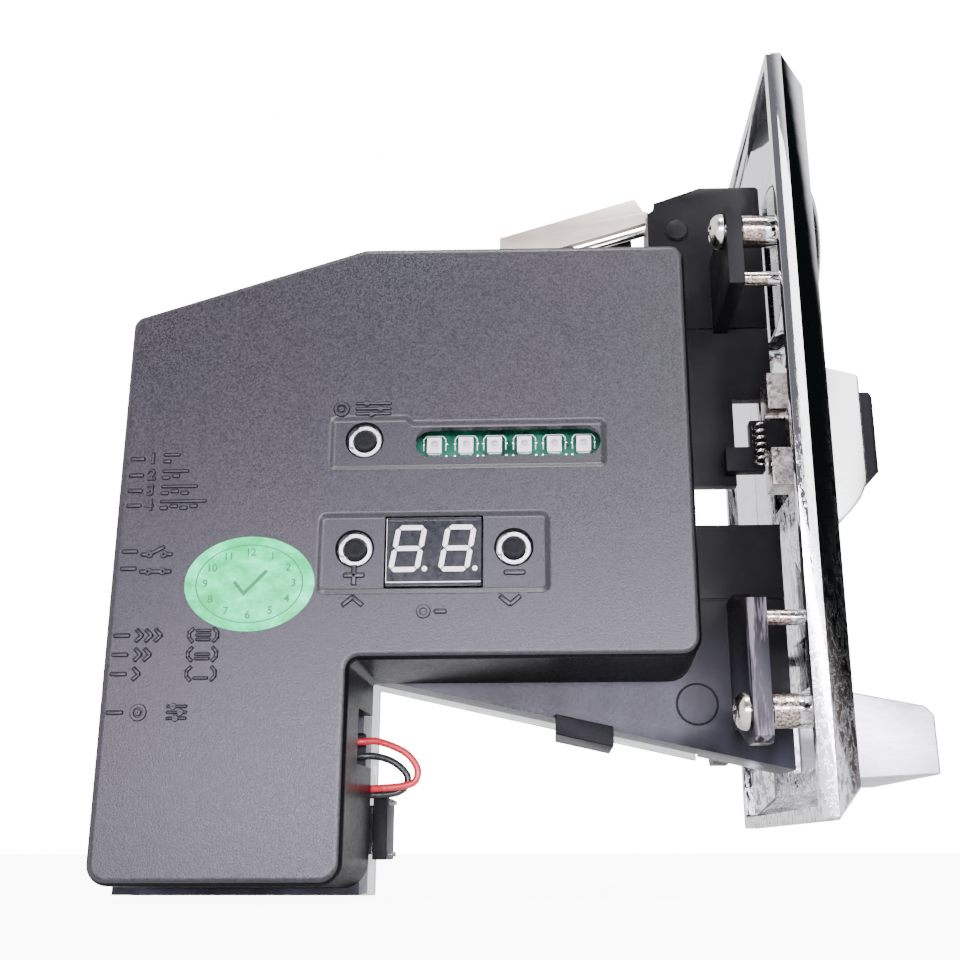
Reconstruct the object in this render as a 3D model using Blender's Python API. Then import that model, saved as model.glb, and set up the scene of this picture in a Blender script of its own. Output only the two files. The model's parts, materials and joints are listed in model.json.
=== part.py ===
"""Multi-coin acceptor with a counting display, built as an assembly of separate pieces.

Axes: +X towards the customer (out of the front panel), +Y away from the electronics cover,
+Z up. The origin lies on the front panel's rear rim, in the middle of its bottom edge.
All sizes below are in millimetres. X is measured from the rear rim, Y from the panel's
middle and Z from the panel's mid-height; build_mesh turns them into metres from the origin.
"""

import bmesh
import bpy
from math import cos, pi, radians, sin, tan
from mathutils import Matrix, Vector

# ---------------------------------------------------------------- driving dimensions (mm)
MM = 0.001
GAP = 0.3                       # air between two separate pieces
PANEL_W, PANEL_H = 64.0, 127.0  # standard front panel
PANEL_RIM = 2.5                 # straight rim before the bevel
PANEL_FACE = 7.1                # rim's rear edge to the front face
PANEL_WALL = 2.0
BEVEL_Y = 5.0                   # how far the bevel pulls the face in at the sides,
BEVEL_TOP, BEVEL_LOW = 2.9, 4.5  # at the top and at the bottom
ENTRY_Z = 40.5                  # middle of the round coin entry
PLATEAU = 0.9                   # raised middle of the front face
RIM_MID = PANEL_H / 2 - 1.0     # origin to mid-height, at the middle of the rim's wall

BODY_NEAR, BODY_FAR = -6.0, 3.0  # main body plate, along Y
BLOCK_FAR = 6.5                  # far wall of the entry block
CHANNEL = 2.3                    # half width of the coin channel
RUN_SLOPE = 0.30                 # slope of the coin runway and of the door's hinge
SEAM = 0.35                      # depth of the moulded parting lines

COVER_FACE, COVER_BACK = -26.3, -6.3
COVER_WALL = 2.0
COVER_DRAFT = 0.9
COVER_EDGE = 1.3                 # radius between the cover's face and its walls
DOOR_Y = (BODY_FAR + GAP, BODY_FAR + GAP + 2.6)
CLEAR_Y = (BODY_FAR + GAP, BODY_FAR + GAP + 1.5)

PCB_TOP, PCB_THICK = -21.6, 1.6
PLUNGER_R = 1.75
STEM_Y = (-9.0, -6.6)            # the reject button's stem
STEM_Z = (0.2, 5.6)
CAP_BACK = 11.2                  # rear face of the button's cap
SEAT_FACE = 4.8                  # front face of the button's guide block

EAR_Y = 22.0                     # screws and locating pins, either side of the middle
TOP_SCREW_Z, TOP_PIN_Z = 35.1, 26.1
LOW_SCREW_Z, LOW_PIN_Z = -47.0, -32.5
TOP_EAR_X, LOW_EAR_X = (-7.1, -4.5), (-7.4, -4.5)
SCREW_R, SCREW_HEAD_R = 1.4, 3.0
PIN_R = 1.25
SOLENOID = (-86.0, -25.4)

COVER_OUTLINE = [(-107.1, 18.9), (-68.3, 31.1), (-14.6, 30.7), (-14.6, -39.2),
                 (-68.7, -39.2), (-68.7, -72.5), (-106.9, -72.6)]
COVER_RADII = [2.2, 3.0, 2.4, 3.3, 1.6, 3.3, 3.3]
KEYS = {"set": (-67.4, -3.4), "add": (-68.4, -21.6), "minus": (-43.3, -21.6)}
LED_X = [-56.4, -51.2, -46.5, -41.6, -36.7, -31.9]
LED_Z = -3.3
HINGE_Y = 4.6                    # the coin door's hinge pin
HINGE_POINT = (-17.6, 51.3)      # a point of its axis, seen from the side
CHUTE_SLOPE = 0.225              # floor of the return chute, down towards the panel


# ---------------------------------------------------------------- mesh helpers
def material(name, rgb, roughness=0.5, metallic=0.0):
    """A Principled material, made once for each name."""
    made = bpy.data.materials.get(name)
    if made:
        return made
    made = bpy.data.materials.new(name)
    made.use_nodes = True
    shader = made.node_tree.nodes["Principled BSDF"]
    shader.inputs["Base Color"].default_value = (*rgb, 1.0)
    shader.inputs["Roughness"].default_value = roughness
    shader.inputs["Metallic"].default_value = metallic
    return made


def black_plastic():
    return material("black_plastic", (0.03, 0.03, 0.035), 0.45)


def chrome():
    return material("chrome_plating", (0.85, 0.86, 0.88), 0.08, 1.0)


def nickel():
    return material("nickel_plating", (0.74, 0.70, 0.66), 0.28, 1.0)


def build_mesh(name, points, faces, look=None, smooth=False):
    """An object from points in millimetres and faces of point numbers."""
    mesh = bpy.data.meshes.new(name)
    mesh.from_pydata([(x * MM, y * MM, (z + RIM_MID) * MM) for x, y, z in points], [], faces)
    work = bmesh.new()
    work.from_mesh(mesh)
    bmesh.ops.recalc_face_normals(work, faces=work.faces)
    work.to_mesh(mesh)
    work.free()
    if look:
        mesh.materials.append(look)
    made = bpy.data.objects.new(name, mesh)
    bpy.context.scene.collection.objects.link(made)
    if smooth:
        mesh.shade_smooth()
        mesh.set_sharp_from_angle(angle=radians(35))
    return made


def loft(name, rings, look=None, smooth=False):
    """A closed solid through rings of equal length, capped at both ends."""
    count = len(rings[0])
    points = [p for ring in rings for p in ring]
    faces = [list(range(count))[::-1], [(len(rings) - 1) * count + i for i in range(count)]]
    for r in range(len(rings) - 1):
        for i in range(count):
            j = (i + 1) % count
            faces.append([r * count + i, r * count + j, (r + 1) * count + j, (r + 1) * count + i])
    return build_mesh(name, points, faces, look, smooth)


def box(name, x, y, z, look=None):
    """A block between two values on each axis."""
    ring = [(x[0], y[0]), (x[1], y[0]), (x[1], y[1]), (x[0], y[1])]
    return loft(name, [[(a, b, z[0]) for a, b in ring], [(a, b, z[1]) for a, b in ring]], look)


def plate_y(name, outline, y, look=None):
    """An (x, z) outline extruded along Y."""
    return loft(name, [[(a, y[0], b) for a, b in outline], [(a, y[1], b) for a, b in outline]], look)


def plate_x(name, outline, x, look=None):
    """A (y, z) outline extruded along X."""
    return loft(name, [[(x[0], a, b) for a, b in outline], [(x[1], a, b) for a, b in outline]], look)


def turned(name, axis, centre, profile, sides=20, look=None):
    """A solid of revolution from (place along the axis, radius) pairs, about +X, +Y or +Z."""
    rings = []
    for along, radius in profile:
        ring = []
        for i in range(sides):
            a = 2 * pi * i / sides
            u, v = radius * cos(a), radius * sin(a)
            spot = {"x": (along, u, v), "y": (v, along, u), "z": (u, v, along)}[axis]
            ring.append(tuple(c + s for c, s in zip(centre, spot)))
        rings.append(ring)
    return loft(name, rings, look, smooth=True)


def rod(name, axis, centre, radius, along, sides=20, look=None):
    """A plain round bar."""
    return turned(name, axis, centre, [(along[0], radius), (along[1], radius)], sides, look)


def offset_outline(corners, inset):
    """Moves each side of a clockwise (x, z) outline inwards."""
    moved = []
    count = len(corners)
    for i, here in enumerate(corners):
        before, after = Vector(corners[i - 1]), Vector(corners[(i + 1) % count])
        here = Vector(here)
        d1, d2 = (here - before).normalized(), (after - here).normalized()
        n1, n2 = Vector((d1.y, -d1.x)), Vector((d2.y, -d2.x))
        moved.append(tuple(here + (n1 + n2) * inset / (1 + n1.dot(n2))))
    return moved


def round_outline(corners, radii, steps=4):
    """Replaces each corner by an arc of its own radius."""
    out = []
    count = len(corners)
    for i, corner in enumerate(corners):
        here = Vector(corner)
        d1 = (here - Vector(corners[i - 1])).normalized()
        d2 = (Vector(corners[(i + 1) % count]) - here).normalized()
        turn = d1.angle_signed(d2)
        reach = abs(radii[i] * tan(turn / 2))
        start = here - d1 * reach
        side = Vector((d1.y, -d1.x)) if turn > 0 else Vector((-d1.y, d1.x))
        middle = start + side * radii[i]
        for s in range(steps + 1):
            out.append(tuple(middle + Matrix.Rotation(-turn * s / steps, 2) @ (start - middle)))
    return out


def rounded(corners, radius, steps=4):
    return round_outline(corners, [radius] * len(corners), steps)


def rect(x0, x1, z0, z1):
    """A clockwise rectangle."""
    return [(x0, z1), (x1, z1), (x1, z0), (x0, z0)]


def apply_boolean(target, tools, operation):
    """Adds or removes solids, one after another, and deletes them."""
    for tool in tools:
        step = target.modifiers.new(operation, "BOOLEAN")
        step.operation = operation
        step.solver = "EXACT"
        step.object = tool
        bpy.context.view_layer.update()
        shape = target.evaluated_get(bpy.context.evaluated_depsgraph_get())
        result = bpy.data.meshes.new_from_object(shape)
        target.modifiers.clear()
        target.data = result
        bpy.data.objects.remove(tool)
    target.data.name = target.name
    return target


def cut(target, *tools):
    return apply_boolean(target, tools, "DIFFERENCE")


def join(target, *tools):
    return apply_boolean(target, tools, "UNION")


def smooth(target, angle=35):
    target.data.shade_smooth()
    target.data.set_sharp_from_angle(angle=radians(angle))
    return target


def origin_at(target, point):
    """Puts the object's origin on its joint's axis, at a point in millimetres."""
    spot = Vector((point[0] * MM, point[1] * MM, (point[2] + RIM_MID) * MM))
    target.data.transform(Matrix.Translation(-spot))
    target.location = spot
    return target


def tube(name, points, radius, look, resolution=2):
    """A round wire along points in millimetres, with flat filled ends."""
    curve = bpy.data.curves.new(name, "CURVE")
    curve.dimensions = "3D"
    curve.bevel_depth = radius * MM
    curve.bevel_resolution = resolution
    curve.use_fill_caps = True
    line = curve.splines.new("POLY")
    line.points.add(len(points) - 1)
    for spot, (x, y, z) in zip(line.points, points):
        spot.co = (x * MM, y * MM, (z + RIM_MID) * MM, 1.0)
    curve.materials.append(look)
    made = bpy.data.objects.new(name, curve)
    bpy.context.scene.collection.objects.link(made)
    return made


def coil(name, axis, centre, radius, wire, along, turns, look, steps=12):
    """A coil spring about +X, +Y or +Z."""
    points = []
    total = int(turns * steps)
    for i in range(total + 1):
        a = 2 * pi * i / steps
        s = along[0] + (along[1] - along[0]) * i / total
        u, v = radius * cos(a), radius * sin(a)
        spot = {"x": (s, u, v), "y": (v, s, u), "z": (u, v, s)}[axis]
        points.append(tuple(c + p for c, p in zip(centre, spot)))
    return tube(name, points, wire, look, resolution=1)


def smooth_route(points, samples=4):
    """A smooth curve through the given points."""
    ends = [points[0]] + points + [points[-1]]
    out = []
    for i in range(1, len(ends) - 2):
        a, b, c, d = (Vector(p) for p in ends[i - 1:i + 3])
        for s in range(samples):
            t = s / samples
            out.append(tuple(0.5 * (2 * b + (c - a) * t + (2 * a - 5 * b + 4 * c - d) * t * t
                                    + (3 * b - 3 * c + d - a) * t ** 3)))
    return out + [tuple(points[-1])]


# ---------------------------------------------------------------- front panel
def panel_ring(x, inset_y, inset_top, inset_low, corner=0.6):
    half_y, half_z = PANEL_W / 2 - inset_y, PANEL_H / 2
    outline = rect(-half_y, half_y, -half_z + inset_low, half_z - inset_top)
    return [(x, a, b) for a, b in rounded(outline, corner, 3)]


def front_panel():
    """Chrome-plated tray with bosses and locating pins on its back."""
    plateau = [(-24.5, 52.0), (24.5, 52.0), (24.5, -55.5), (-24.5, -55.5)]
    back = PANEL_FACE - PANEL_WALL
    panel = loft("front_panel", [
        panel_ring(0, 0, 0, 0), panel_ring(PANEL_RIM, 0, 0, 0),
        panel_ring(PANEL_FACE, BEVEL_Y, BEVEL_TOP, BEVEL_LOW)], chrome())
    wall = PANEL_WALL
    cut(panel, loft("hollow", [
        panel_ring(-1, wall, wall, wall), panel_ring(PANEL_RIM - 0.6, wall, wall, wall),
        panel_ring(back, BEVEL_Y + 0.9, BEVEL_TOP + 0.9, BEVEL_LOW + 0.9)]))
    join(panel, loft("plateau", [
        [(back + 0.5, a, b) for a, b in plateau],
        [(PANEL_FACE, a, b) for a, b in plateau],
        [(PANEL_FACE + PLATEAU, a * 0.96, b * 0.985) for a, b in plateau]]))
    for side in (-1, 1):
        for (left, right), screw_z, pin_z in ((TOP_EAR_X, TOP_SCREW_Z, TOP_PIN_Z),
                                              (LOW_EAR_X, LOW_SCREW_Z, LOW_PIN_Z)):
            boss = rod("boss", "x", (0, side * EAR_Y, screw_z), 2.7, (right + GAP, back + 0.6), 20)
            bore = rod("bore", "x", (0, side * EAR_Y, screw_z), SCREW_R + 0.25, (right - 1, 2.2), 14)
            join(panel, boss)
            cut(panel, bore)
            join(panel, rod("pin", "x", (0, side * EAR_Y, pin_z), PIN_R, (left + 1.0, back + 0.6), 14))
    cut(panel,
        rod("entry_hole", "x", (0, 0, ENTRY_Z), 15.0, (back - 2, PANEL_FACE + 4), 32),
        box("button_hole", (back - 2, PANEL_FACE + 4), (-9.3, 9.3), (-6.6, 12.6)),
        box("return_hole", (back - 2, PANEL_FACE + 4), (-15.5, 15.5), (-54.5, -41.5)))
    return smooth(panel, 30)


def coin_entry():
    """Round domed bezel with the upright coin slot, set into the panel from the front."""
    face = PANEL_FACE + PLATEAU
    bezel = turned("coin_entry_bezel", "x", (0, 0, ENTRY_Z), [
        (PANEL_FACE - PANEL_WALL, 14.6), (face + GAP, 14.6), (face + GAP, 17.2), (face + 1.3, 17.0),
        (face + 2.9, 15.4), (face + 4.0, 12.4), (face + 4.5, 9.0)], 40, chrome())
    cut(bezel,
        box("slot", (0, 30), (-CHANNEL, CHANNEL), (ENTRY_Z - 14.0, ENTRY_Z + 14.0)),
        loft("scoop", [
            [(face + 2.4, a, ENTRY_Z + b) for a, b in rect(-2.4, 2.4, -12.0, 12.0)],
            [(face + 7.4, a, ENTRY_Z + b) for a, b in rect(-7.4, 7.4, -17.0, 17.0)]]))
    return smooth(bezel, 30)


def button_bezel():
    """Raised housing round the reject button, with a scooped lower side."""
    face = PANEL_FACE + PLATEAU + GAP
    front = 16.4
    side = [(face, 14.4), (front, 12.1), (front, -7.3), (15.2, -10.0), (13.3, -12.4), (11.6, -14.0),
            (face, -15.4)]
    bezel = loft("reject_button_bezel", [
        [(a, -13.0, b) for a, b in side],
        [(face + (a - face) * 0.98, -11.6 if a > face + 1 else -13.0, b) for a, b in side],
        [(face + (a - face) * 0.98, 11.6 if a > face + 1 else 13.0, b) for a, b in side],
        [(a, 13.0, b) for a, b in side]], chrome())
    cut(bezel, box("button_well", (face - 2, front + 3), (-9.0, 9.0), (-5.0, 11.3)))
    return bezel


def reject_button():
    """Black push button with its stem and the arm that works the coin door."""
    button = loft("reject_button", [
        [(CAP_BACK, a, b) for a, b in rect(-8.6, 8.6, -4.6, 10.8)],
        [(19.2, a, b) for a, b in rect(-8.6, 8.6, -4.6, 10.8)],
        [(19.9, a, b) for a, b in rect(-7.9, 7.9, -3.9, 10.1)]], black_plastic())
    join(button,
         box("stem", (-2.2, CAP_BACK + 1), STEM_Y, STEM_Z),
         box("arm", (-6.6, 0.2), STEM_Y, (-3.8, STEM_Z[0] + 0.5)))
    return origin_at(button, (19.2, 0, 3.1))


def button_guide():
    """Plated guide block behind the panel: the stem slides in it and the spring stands on it."""
    guide = box("button_guide", (0.6, SEAT_FACE), (-12.2, BODY_NEAR - GAP), (-7.4, 13.2), chrome())
    join(guide, box("spring_seat", (2.6, SEAT_FACE), (-6.8, 3.4), (-1.6, 7.8)))
    cut(guide,
        box("stem_way", (-1, 8), (STEM_Y[0] - GAP, STEM_Y[1] + GAP), (STEM_Z[0] - GAP, STEM_Z[1] + GAP)),
        box("window", (-1, 4.0), (-13, STEM_Y[0]), (-0.6, 6.5)))
    return guide


def button_springs():
    """Return spring between guide and cap, and the small upright spring behind the guide."""
    wire = 0.25
    coil("button_spring", "x", (0, -1.4, 3.1), 2.5, wire,
         (SEAT_FACE + GAP + wire, CAP_BACK - GAP - wire), 4, nickel())
    coil("arm_spring", "z", (-0.95, -10.9, 0), 1.0, 0.25, (-3.2, 4.2), 6, nickel(), 10)


# ---------------------------------------------------------------- return cup
def return_cup():
    """Coin return cup: floor, two cheeks and a low lip, open at the top."""
    face = PANEL_FACE + PLATEAU + GAP
    cheek = [(face, -43.4), (20.5, -45.8), (21.8, -47.3), (21.9, -56.4), (face, -57.1)]
    cup = loft("return_cup", [
        [(a, -18.0, b) for a, b in cheek], [(a, 18.0, b) for a, b in cheek]], chrome())
    cut(cup,
        loft("hollow", [
            [(a, -16.2, b) for a, b in [(0, -30), (19.8, -30), (19.8, -52.0), (17.0, -54.6), (0, -54.6)]],
            [(a, 16.2, b) for a, b in [(0, -30), (19.8, -30), (19.8, -52.0), (17.0, -54.6), (0, -54.6)]]]),
        plate_x("finger_scoop", [(-11.0, -40.0), (11.0, -40.0), (8.0, -50.4), (-8.0, -50.4)], (17.0, 30.0)))
    return cup


# ---------------------------------------------------------------- main body
def ears(side):
    """The two mounting ears that stand out to one side of the body."""
    inner = BLOCK_FAR - 0.5 if side > 0 else -BODY_NEAR - 0.5
    top = [(inner, 38.2), (25.2, 38.2), (25.2, 23.8), (inner, 23.8)]
    low = [(inner, -26.6), (12.5, -26.6), (15.5, -28.3), (25.2, -29.9), (25.2, -51.0), (24.0, -52.0),
           (19.5, -52.0), (9.5, -48.4), (inner, -48.4)]
    return [plate_x("ear", [(side * a, b) for a, b in outline], x)
            for outline, x in ((top, TOP_EAR_X), (low, LOW_EAR_X))]


def main_body():
    """Black coin mechanism body: near wall, channel walls, entry block and ears."""
    outline = [(-110.0, 17.4), (-68.3, 26.3), (-18.3, 41.3), (-18.3, 48.9), (-17.0, 49.8), (-17.0, 51.1),
               (-8.3, 54.2), (2.3, 54.1), (2.8, 53.6), (2.8, 10.8), (-4.4, 10.8), (-4.4, -5.4),
               (-13.0, -5.4), (-13.0, -12.7), (2.5, -12.7), (2.5, -54.8), (-69.3, -38.9),
               (-69.3, -74.5), (-110.0, -74.5)]
    body = plate_y("main_body", outline, (BODY_NEAR, BODY_FAR), black_plastic())
    join(body,
         box("block_wall", (-17.0, 2.6), (BODY_FAR - 1, BLOCK_FAR), (10.8, 50.9)),
         plate_y("chute_wall", [(-12.0, -12.7), (2.5, -12.7), (2.5, -54.8), (-12.0, -51.59)],
                 (BODY_FAR - 1, BLOCK_FAR)))
    runway = [(-105.0, 16.2), (-68.0, 24.2), (-17.0, 39.6), (-15.0, 40.2), (-15.0, 50.0), (-8.2, 52.2),
              (5.0, 52.2), (5.0, 26.2), (0.0, 24.6), (-6.0, 12.8), (-15.0, 6.8), (-68.0, -9.1),
              (-68.0, -37.2), (-71.3, -37.2), (-71.3, -76.0), (-105.0, -76.0)]
    chute = [(-70.0, -14.6), (5.0, -14.6), (5.0, -53.4), (-70.0, -36.7)]
    cut(body,
        plate_y("runway", runway, (-CHANNEL, CHANNEL)),
        plate_y("chute", chute, (-CHANNEL, CHANNEL)),
        plate_y("runway_side", [(-105.0, 16.2), (-68.0, 24.2), (-18.6, 39.2), (-18.6, 5.8), (-68.0, -9.1),
                                (-68.0, -37.2), (-71.3, -37.2), (-71.3, -76.0), (-105.0, -76.0)], (0, 9)),
        box("corner_room", (-4.4, 4.0), (BODY_NEAR + 2.0, 9.0), (8.0, 22.0)),
        box("shelf_room", (-12.8, 0.0), (BODY_NEAR + 2.5, 9.0), (-6.0, -1.0)),
        plate_y("chute_side", [(-70.0, -14.6), (-13.6, -14.6), (-13.6, -49.3), (-70.0, -36.7)], (0, 9)))
    for side in (-1, 1):
        join(body, *ears(side))
        for left, screw_z, pin_z in ((TOP_EAR_X[0], TOP_SCREW_Z, TOP_PIN_Z),
                                     (LOW_EAR_X[0], LOW_SCREW_Z, LOW_PIN_Z)):
            cut(body,
                rod("screw_hole", "x", (0, side * EAR_Y, screw_z), SCREW_R + 0.35, (-9, -2), 16),
                rod("pin_hole", "x", (0, side * EAR_Y, pin_z), PIN_R + GAP, (left + 0.7, -2), 14))
    posts = [(-100.0, 10.0), (-24.0, 24.0), (-24.0, -32.0), (-98.0, -66.0)]
    for x, z in posts:
        join(body, rod("post", "y", (x, 0, z), 2.2, (PCB_TOP + PCB_THICK + GAP, BODY_NEAR + 1), 10))
    cut(body,
        rod("near_coil_seat", "y", (-38.0, 0, 14.0), 9.4, (-7.0, -4.6), 24),
        box("lead_hole", (-77.0, -68.0), (-9.0, -2.9), (-60.4, -48.4)),
        rod("emitter_hole", "y", (-88.0, 0, -52.0), 1.9, (-9.0, 0.0), 12))
    # hinge pin's left holder, on the far side of the runway's top wall
    x = -62.0
    z = hinge_z(x)
    join(body, box("pin_holder", (x - 1.5, x + 1.5), (-1.0, HINGE_Y + 2.2), (z - 11.0, z + 2.2)))
    holder_bore = hinge_rod("holder_bore", 1.0, -64.0, -12.0)
    cut(body, holder_bore)
    # parting lines of the entry block and the ejector mark of the lower body
    cut(body,
        box("seam_block", (-20.0, 3.0), (BODY_NEAR - 1, BODY_NEAR + SEAM), (24.6, 25.0)),
        box("seam_chute", (-14.0, 4.0), (BODY_NEAR - 1, BODY_NEAR + SEAM), (-26.2, -25.8)))
    return body


def hinge_z(x):
    return HINGE_POINT[1] + RUN_SLOPE * (x - HINGE_POINT[0])


def hinge_rod(name, radius, x0, x1, look=None):
    """A round bar along the coin door's sloping hinge axis, cut square to X."""
    ends = []
    for x in (x0, x1):
        ends.append([(x, HINGE_Y + radius * cos(2 * pi * i / 14), hinge_z(x) + radius * sin(2 * pi * i / 14))
                     for i in range(14)])
    return loft(name, ends, look, smooth=True)


def electronics_cover():
    """Shell over the circuit board, with windows for the keys, the lights and the display."""
    def ring(inset, y):
        radii = [max(r - inset, 0.4) if i != 4 else r + inset for i, r in enumerate(COVER_RADII)]
        return [(a, y, b) for a, b in round_outline(offset_outline(COVER_OUTLINE, inset), radii)]
    rings = []
    for step in range(4):
        a = radians(90) * step / 3
        rings.append(ring(COVER_EDGE * (1 - sin(a)), COVER_FACE + COVER_EDGE * (1 - cos(a))))
    rings.append(ring(-COVER_DRAFT, COVER_BACK))
    rings.append(ring(COVER_WALL - COVER_DRAFT, COVER_BACK))
    rings.append(ring(COVER_WALL, COVER_FACE + COVER_WALL))
    cover = loft("electronics_cover", rings, material("cover_plastic", (0.06, 0.06, 0.07), 0.5))
    deep = (COVER_FACE - 2, COVER_FACE + 0.5)
    through = (COVER_FACE - 2, COVER_FACE + COVER_WALL + 1)
    cut(cover,
        plate_y("upper_recess", rounded([(-72.6, 0.2), (-60.6, 0.2), (-60.4, -0.8), (-28.8, -0.8),
                                         (-28.8, -8.2), (-72.6, -8.2)], 0.3, 2), deep),
        plate_y("lower_recess", rounded(rect(-73.9, -38.0, -28.6, -16.2), 1.0, 2), deep),
        plate_y("light_slot", rounded(rect(-59.1, -29.3, -6.45, -1.45), 2.45, 5), through),
        plate_y("display_window", rect(-63.7, -48.1, -28.1, -16.4), through))
    for x, z in KEYS.values():
        cut(cover, rod("key_hole", "y", (x, 0, z), 2.8, through, 24))
    rear = (-110.0, -102.0)
    cut(cover,
        box("lead_window", (-72.0, -66.0), (-17.5, -5.0), (-54.3, -45.6)),
        box("connector_window", rear, (-21.3, -15.4), (-15.8, -4.8)),
        box("contact_window", rear, (-21.3, -16.6), (-26.6, -20.0)),
        box("speed_window", rear, (-21.3, -16.6), (-42.8, -34.2)),
        box("rear_set_window", rear, (-21.3, -14.9), (-50.3, -43.9)))
    return smooth(cover, 40)


# ---------------------------------------------------------------- electronics
def main_pcb():
    outline = offset_outline(COVER_OUTLINE, COVER_WALL + 1.2)
    y = (PCB_TOP, PCB_TOP + PCB_THICK)
    return plate_y("main_pcb", outline, y, material("pcb_green", (0.02, 0.22, 0.12), 0.45))


def front_switch(name, x, z):
    """Low tactile switch on the board and its round plunger."""
    body = box(name + "_switch", (x - 3, x + 3), (COVER_FACE + COVER_WALL + GAP, PCB_TOP - GAP / 2),
               (z - 3, z + 3), material("switch_metal", (0.75, 0.75, 0.76), 0.35, 1.0))
    cut(body, rod("pocket", "y", (x, 0, z), PLUNGER_R + 0.25, (-26, -22.1), 20))
    plunger = turned(name + "_plunger", "y", (x, 0, z), [
        (-25.9, PLUNGER_R - 0.25), (-25.65, PLUNGER_R), (-22.8, PLUNGER_R)], 20, black_plastic())
    origin_at(plunger, (x, -25.9, z))


def indicator_lights():
    for number, x in enumerate(LED_X, 1):
        look = material("led_body", (0.9, 0.82, 0.82), 0.3)
        lens = rounded(rect(x - 1.35, x + 1.35, LED_Z - 1.35, LED_Z + 1.35), 0.2, 1)
        plate_y("led_%d" % number, lens, (PCB_TOP - 1.1, PCB_TOP - GAP / 2), look)


def display():
    """Two-digit seven-segment display, standing in the cover's window."""
    look = material("display_black", (0.04, 0.045, 0.05), 0.2)
    body = box("display_module", (-63.4, -48.4), (COVER_FACE + 0.25, PCB_TOP - GAP / 2), (-27.8, -16.7), look)
    return body


def slide_switch(name, z0, z1, knob_z):
    """Slide switch on the board's rear edge: metal can with a slot, and its knob."""
    x0, x1 = -103.0, -97.6
    y = (PCB_TOP + PCB_THICK + GAP, PCB_TOP + PCB_THICK + GAP + 3.4)
    can = box(name + "_switch", (x0, x1), y, (z0, z1), material("switch_metal", (0.75, 0.75, 0.76), 0.35, 1.0))
    cut(can, box("slot", (x0 - 1, x0 + 2.2), (y[0] + 0.8, y[1] - 0.8), (z0 + 0.9, z1 - 0.9)))
    knob = box(name + "_knob", (x0 - 3.2, x0 + 1.8), (y[0] + 1.0, y[1] - 1.0), (knob_z - 0.9, knob_z + 0.9),
               black_plastic())
    origin_at(knob, (x0, (y[0] + y[1]) / 2, knob_z))


def rear_set():
    """Side-facing tactile switch on the board's rear edge."""
    x0, y0, z0 = -102.8, PCB_TOP + PCB_THICK + GAP, -47.1
    body = box("rear_set_switch", (x0, -98.4), (y0, y0 + 4.4), (z0 - 3, z0 + 3),
               material("switch_metal", (0.75, 0.75, 0.76), 0.35, 1.0))
    cut(body, rod("pocket", "x", (0, y0 + 2.2, z0), PLUNGER_R - 0.2, (x0 - 1, x0 + 2.0), 16))
    plunger = rod("rear_set_plunger", "x", (0, y0 + 2.2, z0), PLUNGER_R - 0.5, (x0 - 3.4, x0 + 1.2), 16,
                  black_plastic())
    origin_at(plunger, (x0 - 3.4, y0 + 2.2, z0))


def rear_connector():
    """Four-way wafer connector on the board's rear edge."""
    y0 = PCB_TOP + PCB_THICK + GAP
    shell = box("wire_connector", (-103.4, -96.4), (y0, y0 + 5.0), (-15.4, -5.2),
                material("connector_nylon", (0.86, 0.84, 0.78), 0.45))
    cut(shell, box("socket", (-104.5, -97.6), (y0 + 0.9, y0 + 4.1), (-14.6, -6.0)))
    for i in range(4):
        z = -13.6 + i * 2.2
        join(shell, box("contact", (-102.2, -97.0), (y0 + 2.2, y0 + 2.8), (z - 0.3, z + 0.3)))
    return shell


def sensor_coils():
    """Two flat wound coils either side of the coin runway."""
    look = material("coil_brown", (0.35, 0.17, 0.08), 0.45)
    turned("near_sensor_coil", "y", (-38.0, 0, 14.0), [
        (-10.6, 7.0), (-10.6, 9.0), (-4.9, 9.0), (-4.9, 5.0)], 28, look)
    turned("far_sensor_coil", "y", (-38.0, 0, 14.0), [
        (DOOR_Y[1] + GAP, 9.0), (DOOR_Y[1] + 4.3, 9.0), (DOOR_Y[1] + 4.3, 5.0)], 28, look)


def light_barrier():
    look = material("ir_lens", (0.08, 0.05, 0.10), 0.15)
    turned("light_emitter", "y", (-88.0, 0, -52.0), [
        (-5.6, 1.5), (-3.6, 1.5), (-2.9, 1.2), (-2.5, 0.6)], 14, look)
    far = CLEAR_Y[1] + GAP
    turned("light_receiver", "y", (-88.0, 0, -52.0), [
        (far, 2.4), (far + 0.8, 2.4), (far + 0.8, 1.6), (far + 4.6, 1.6)], 14, look)


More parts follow.
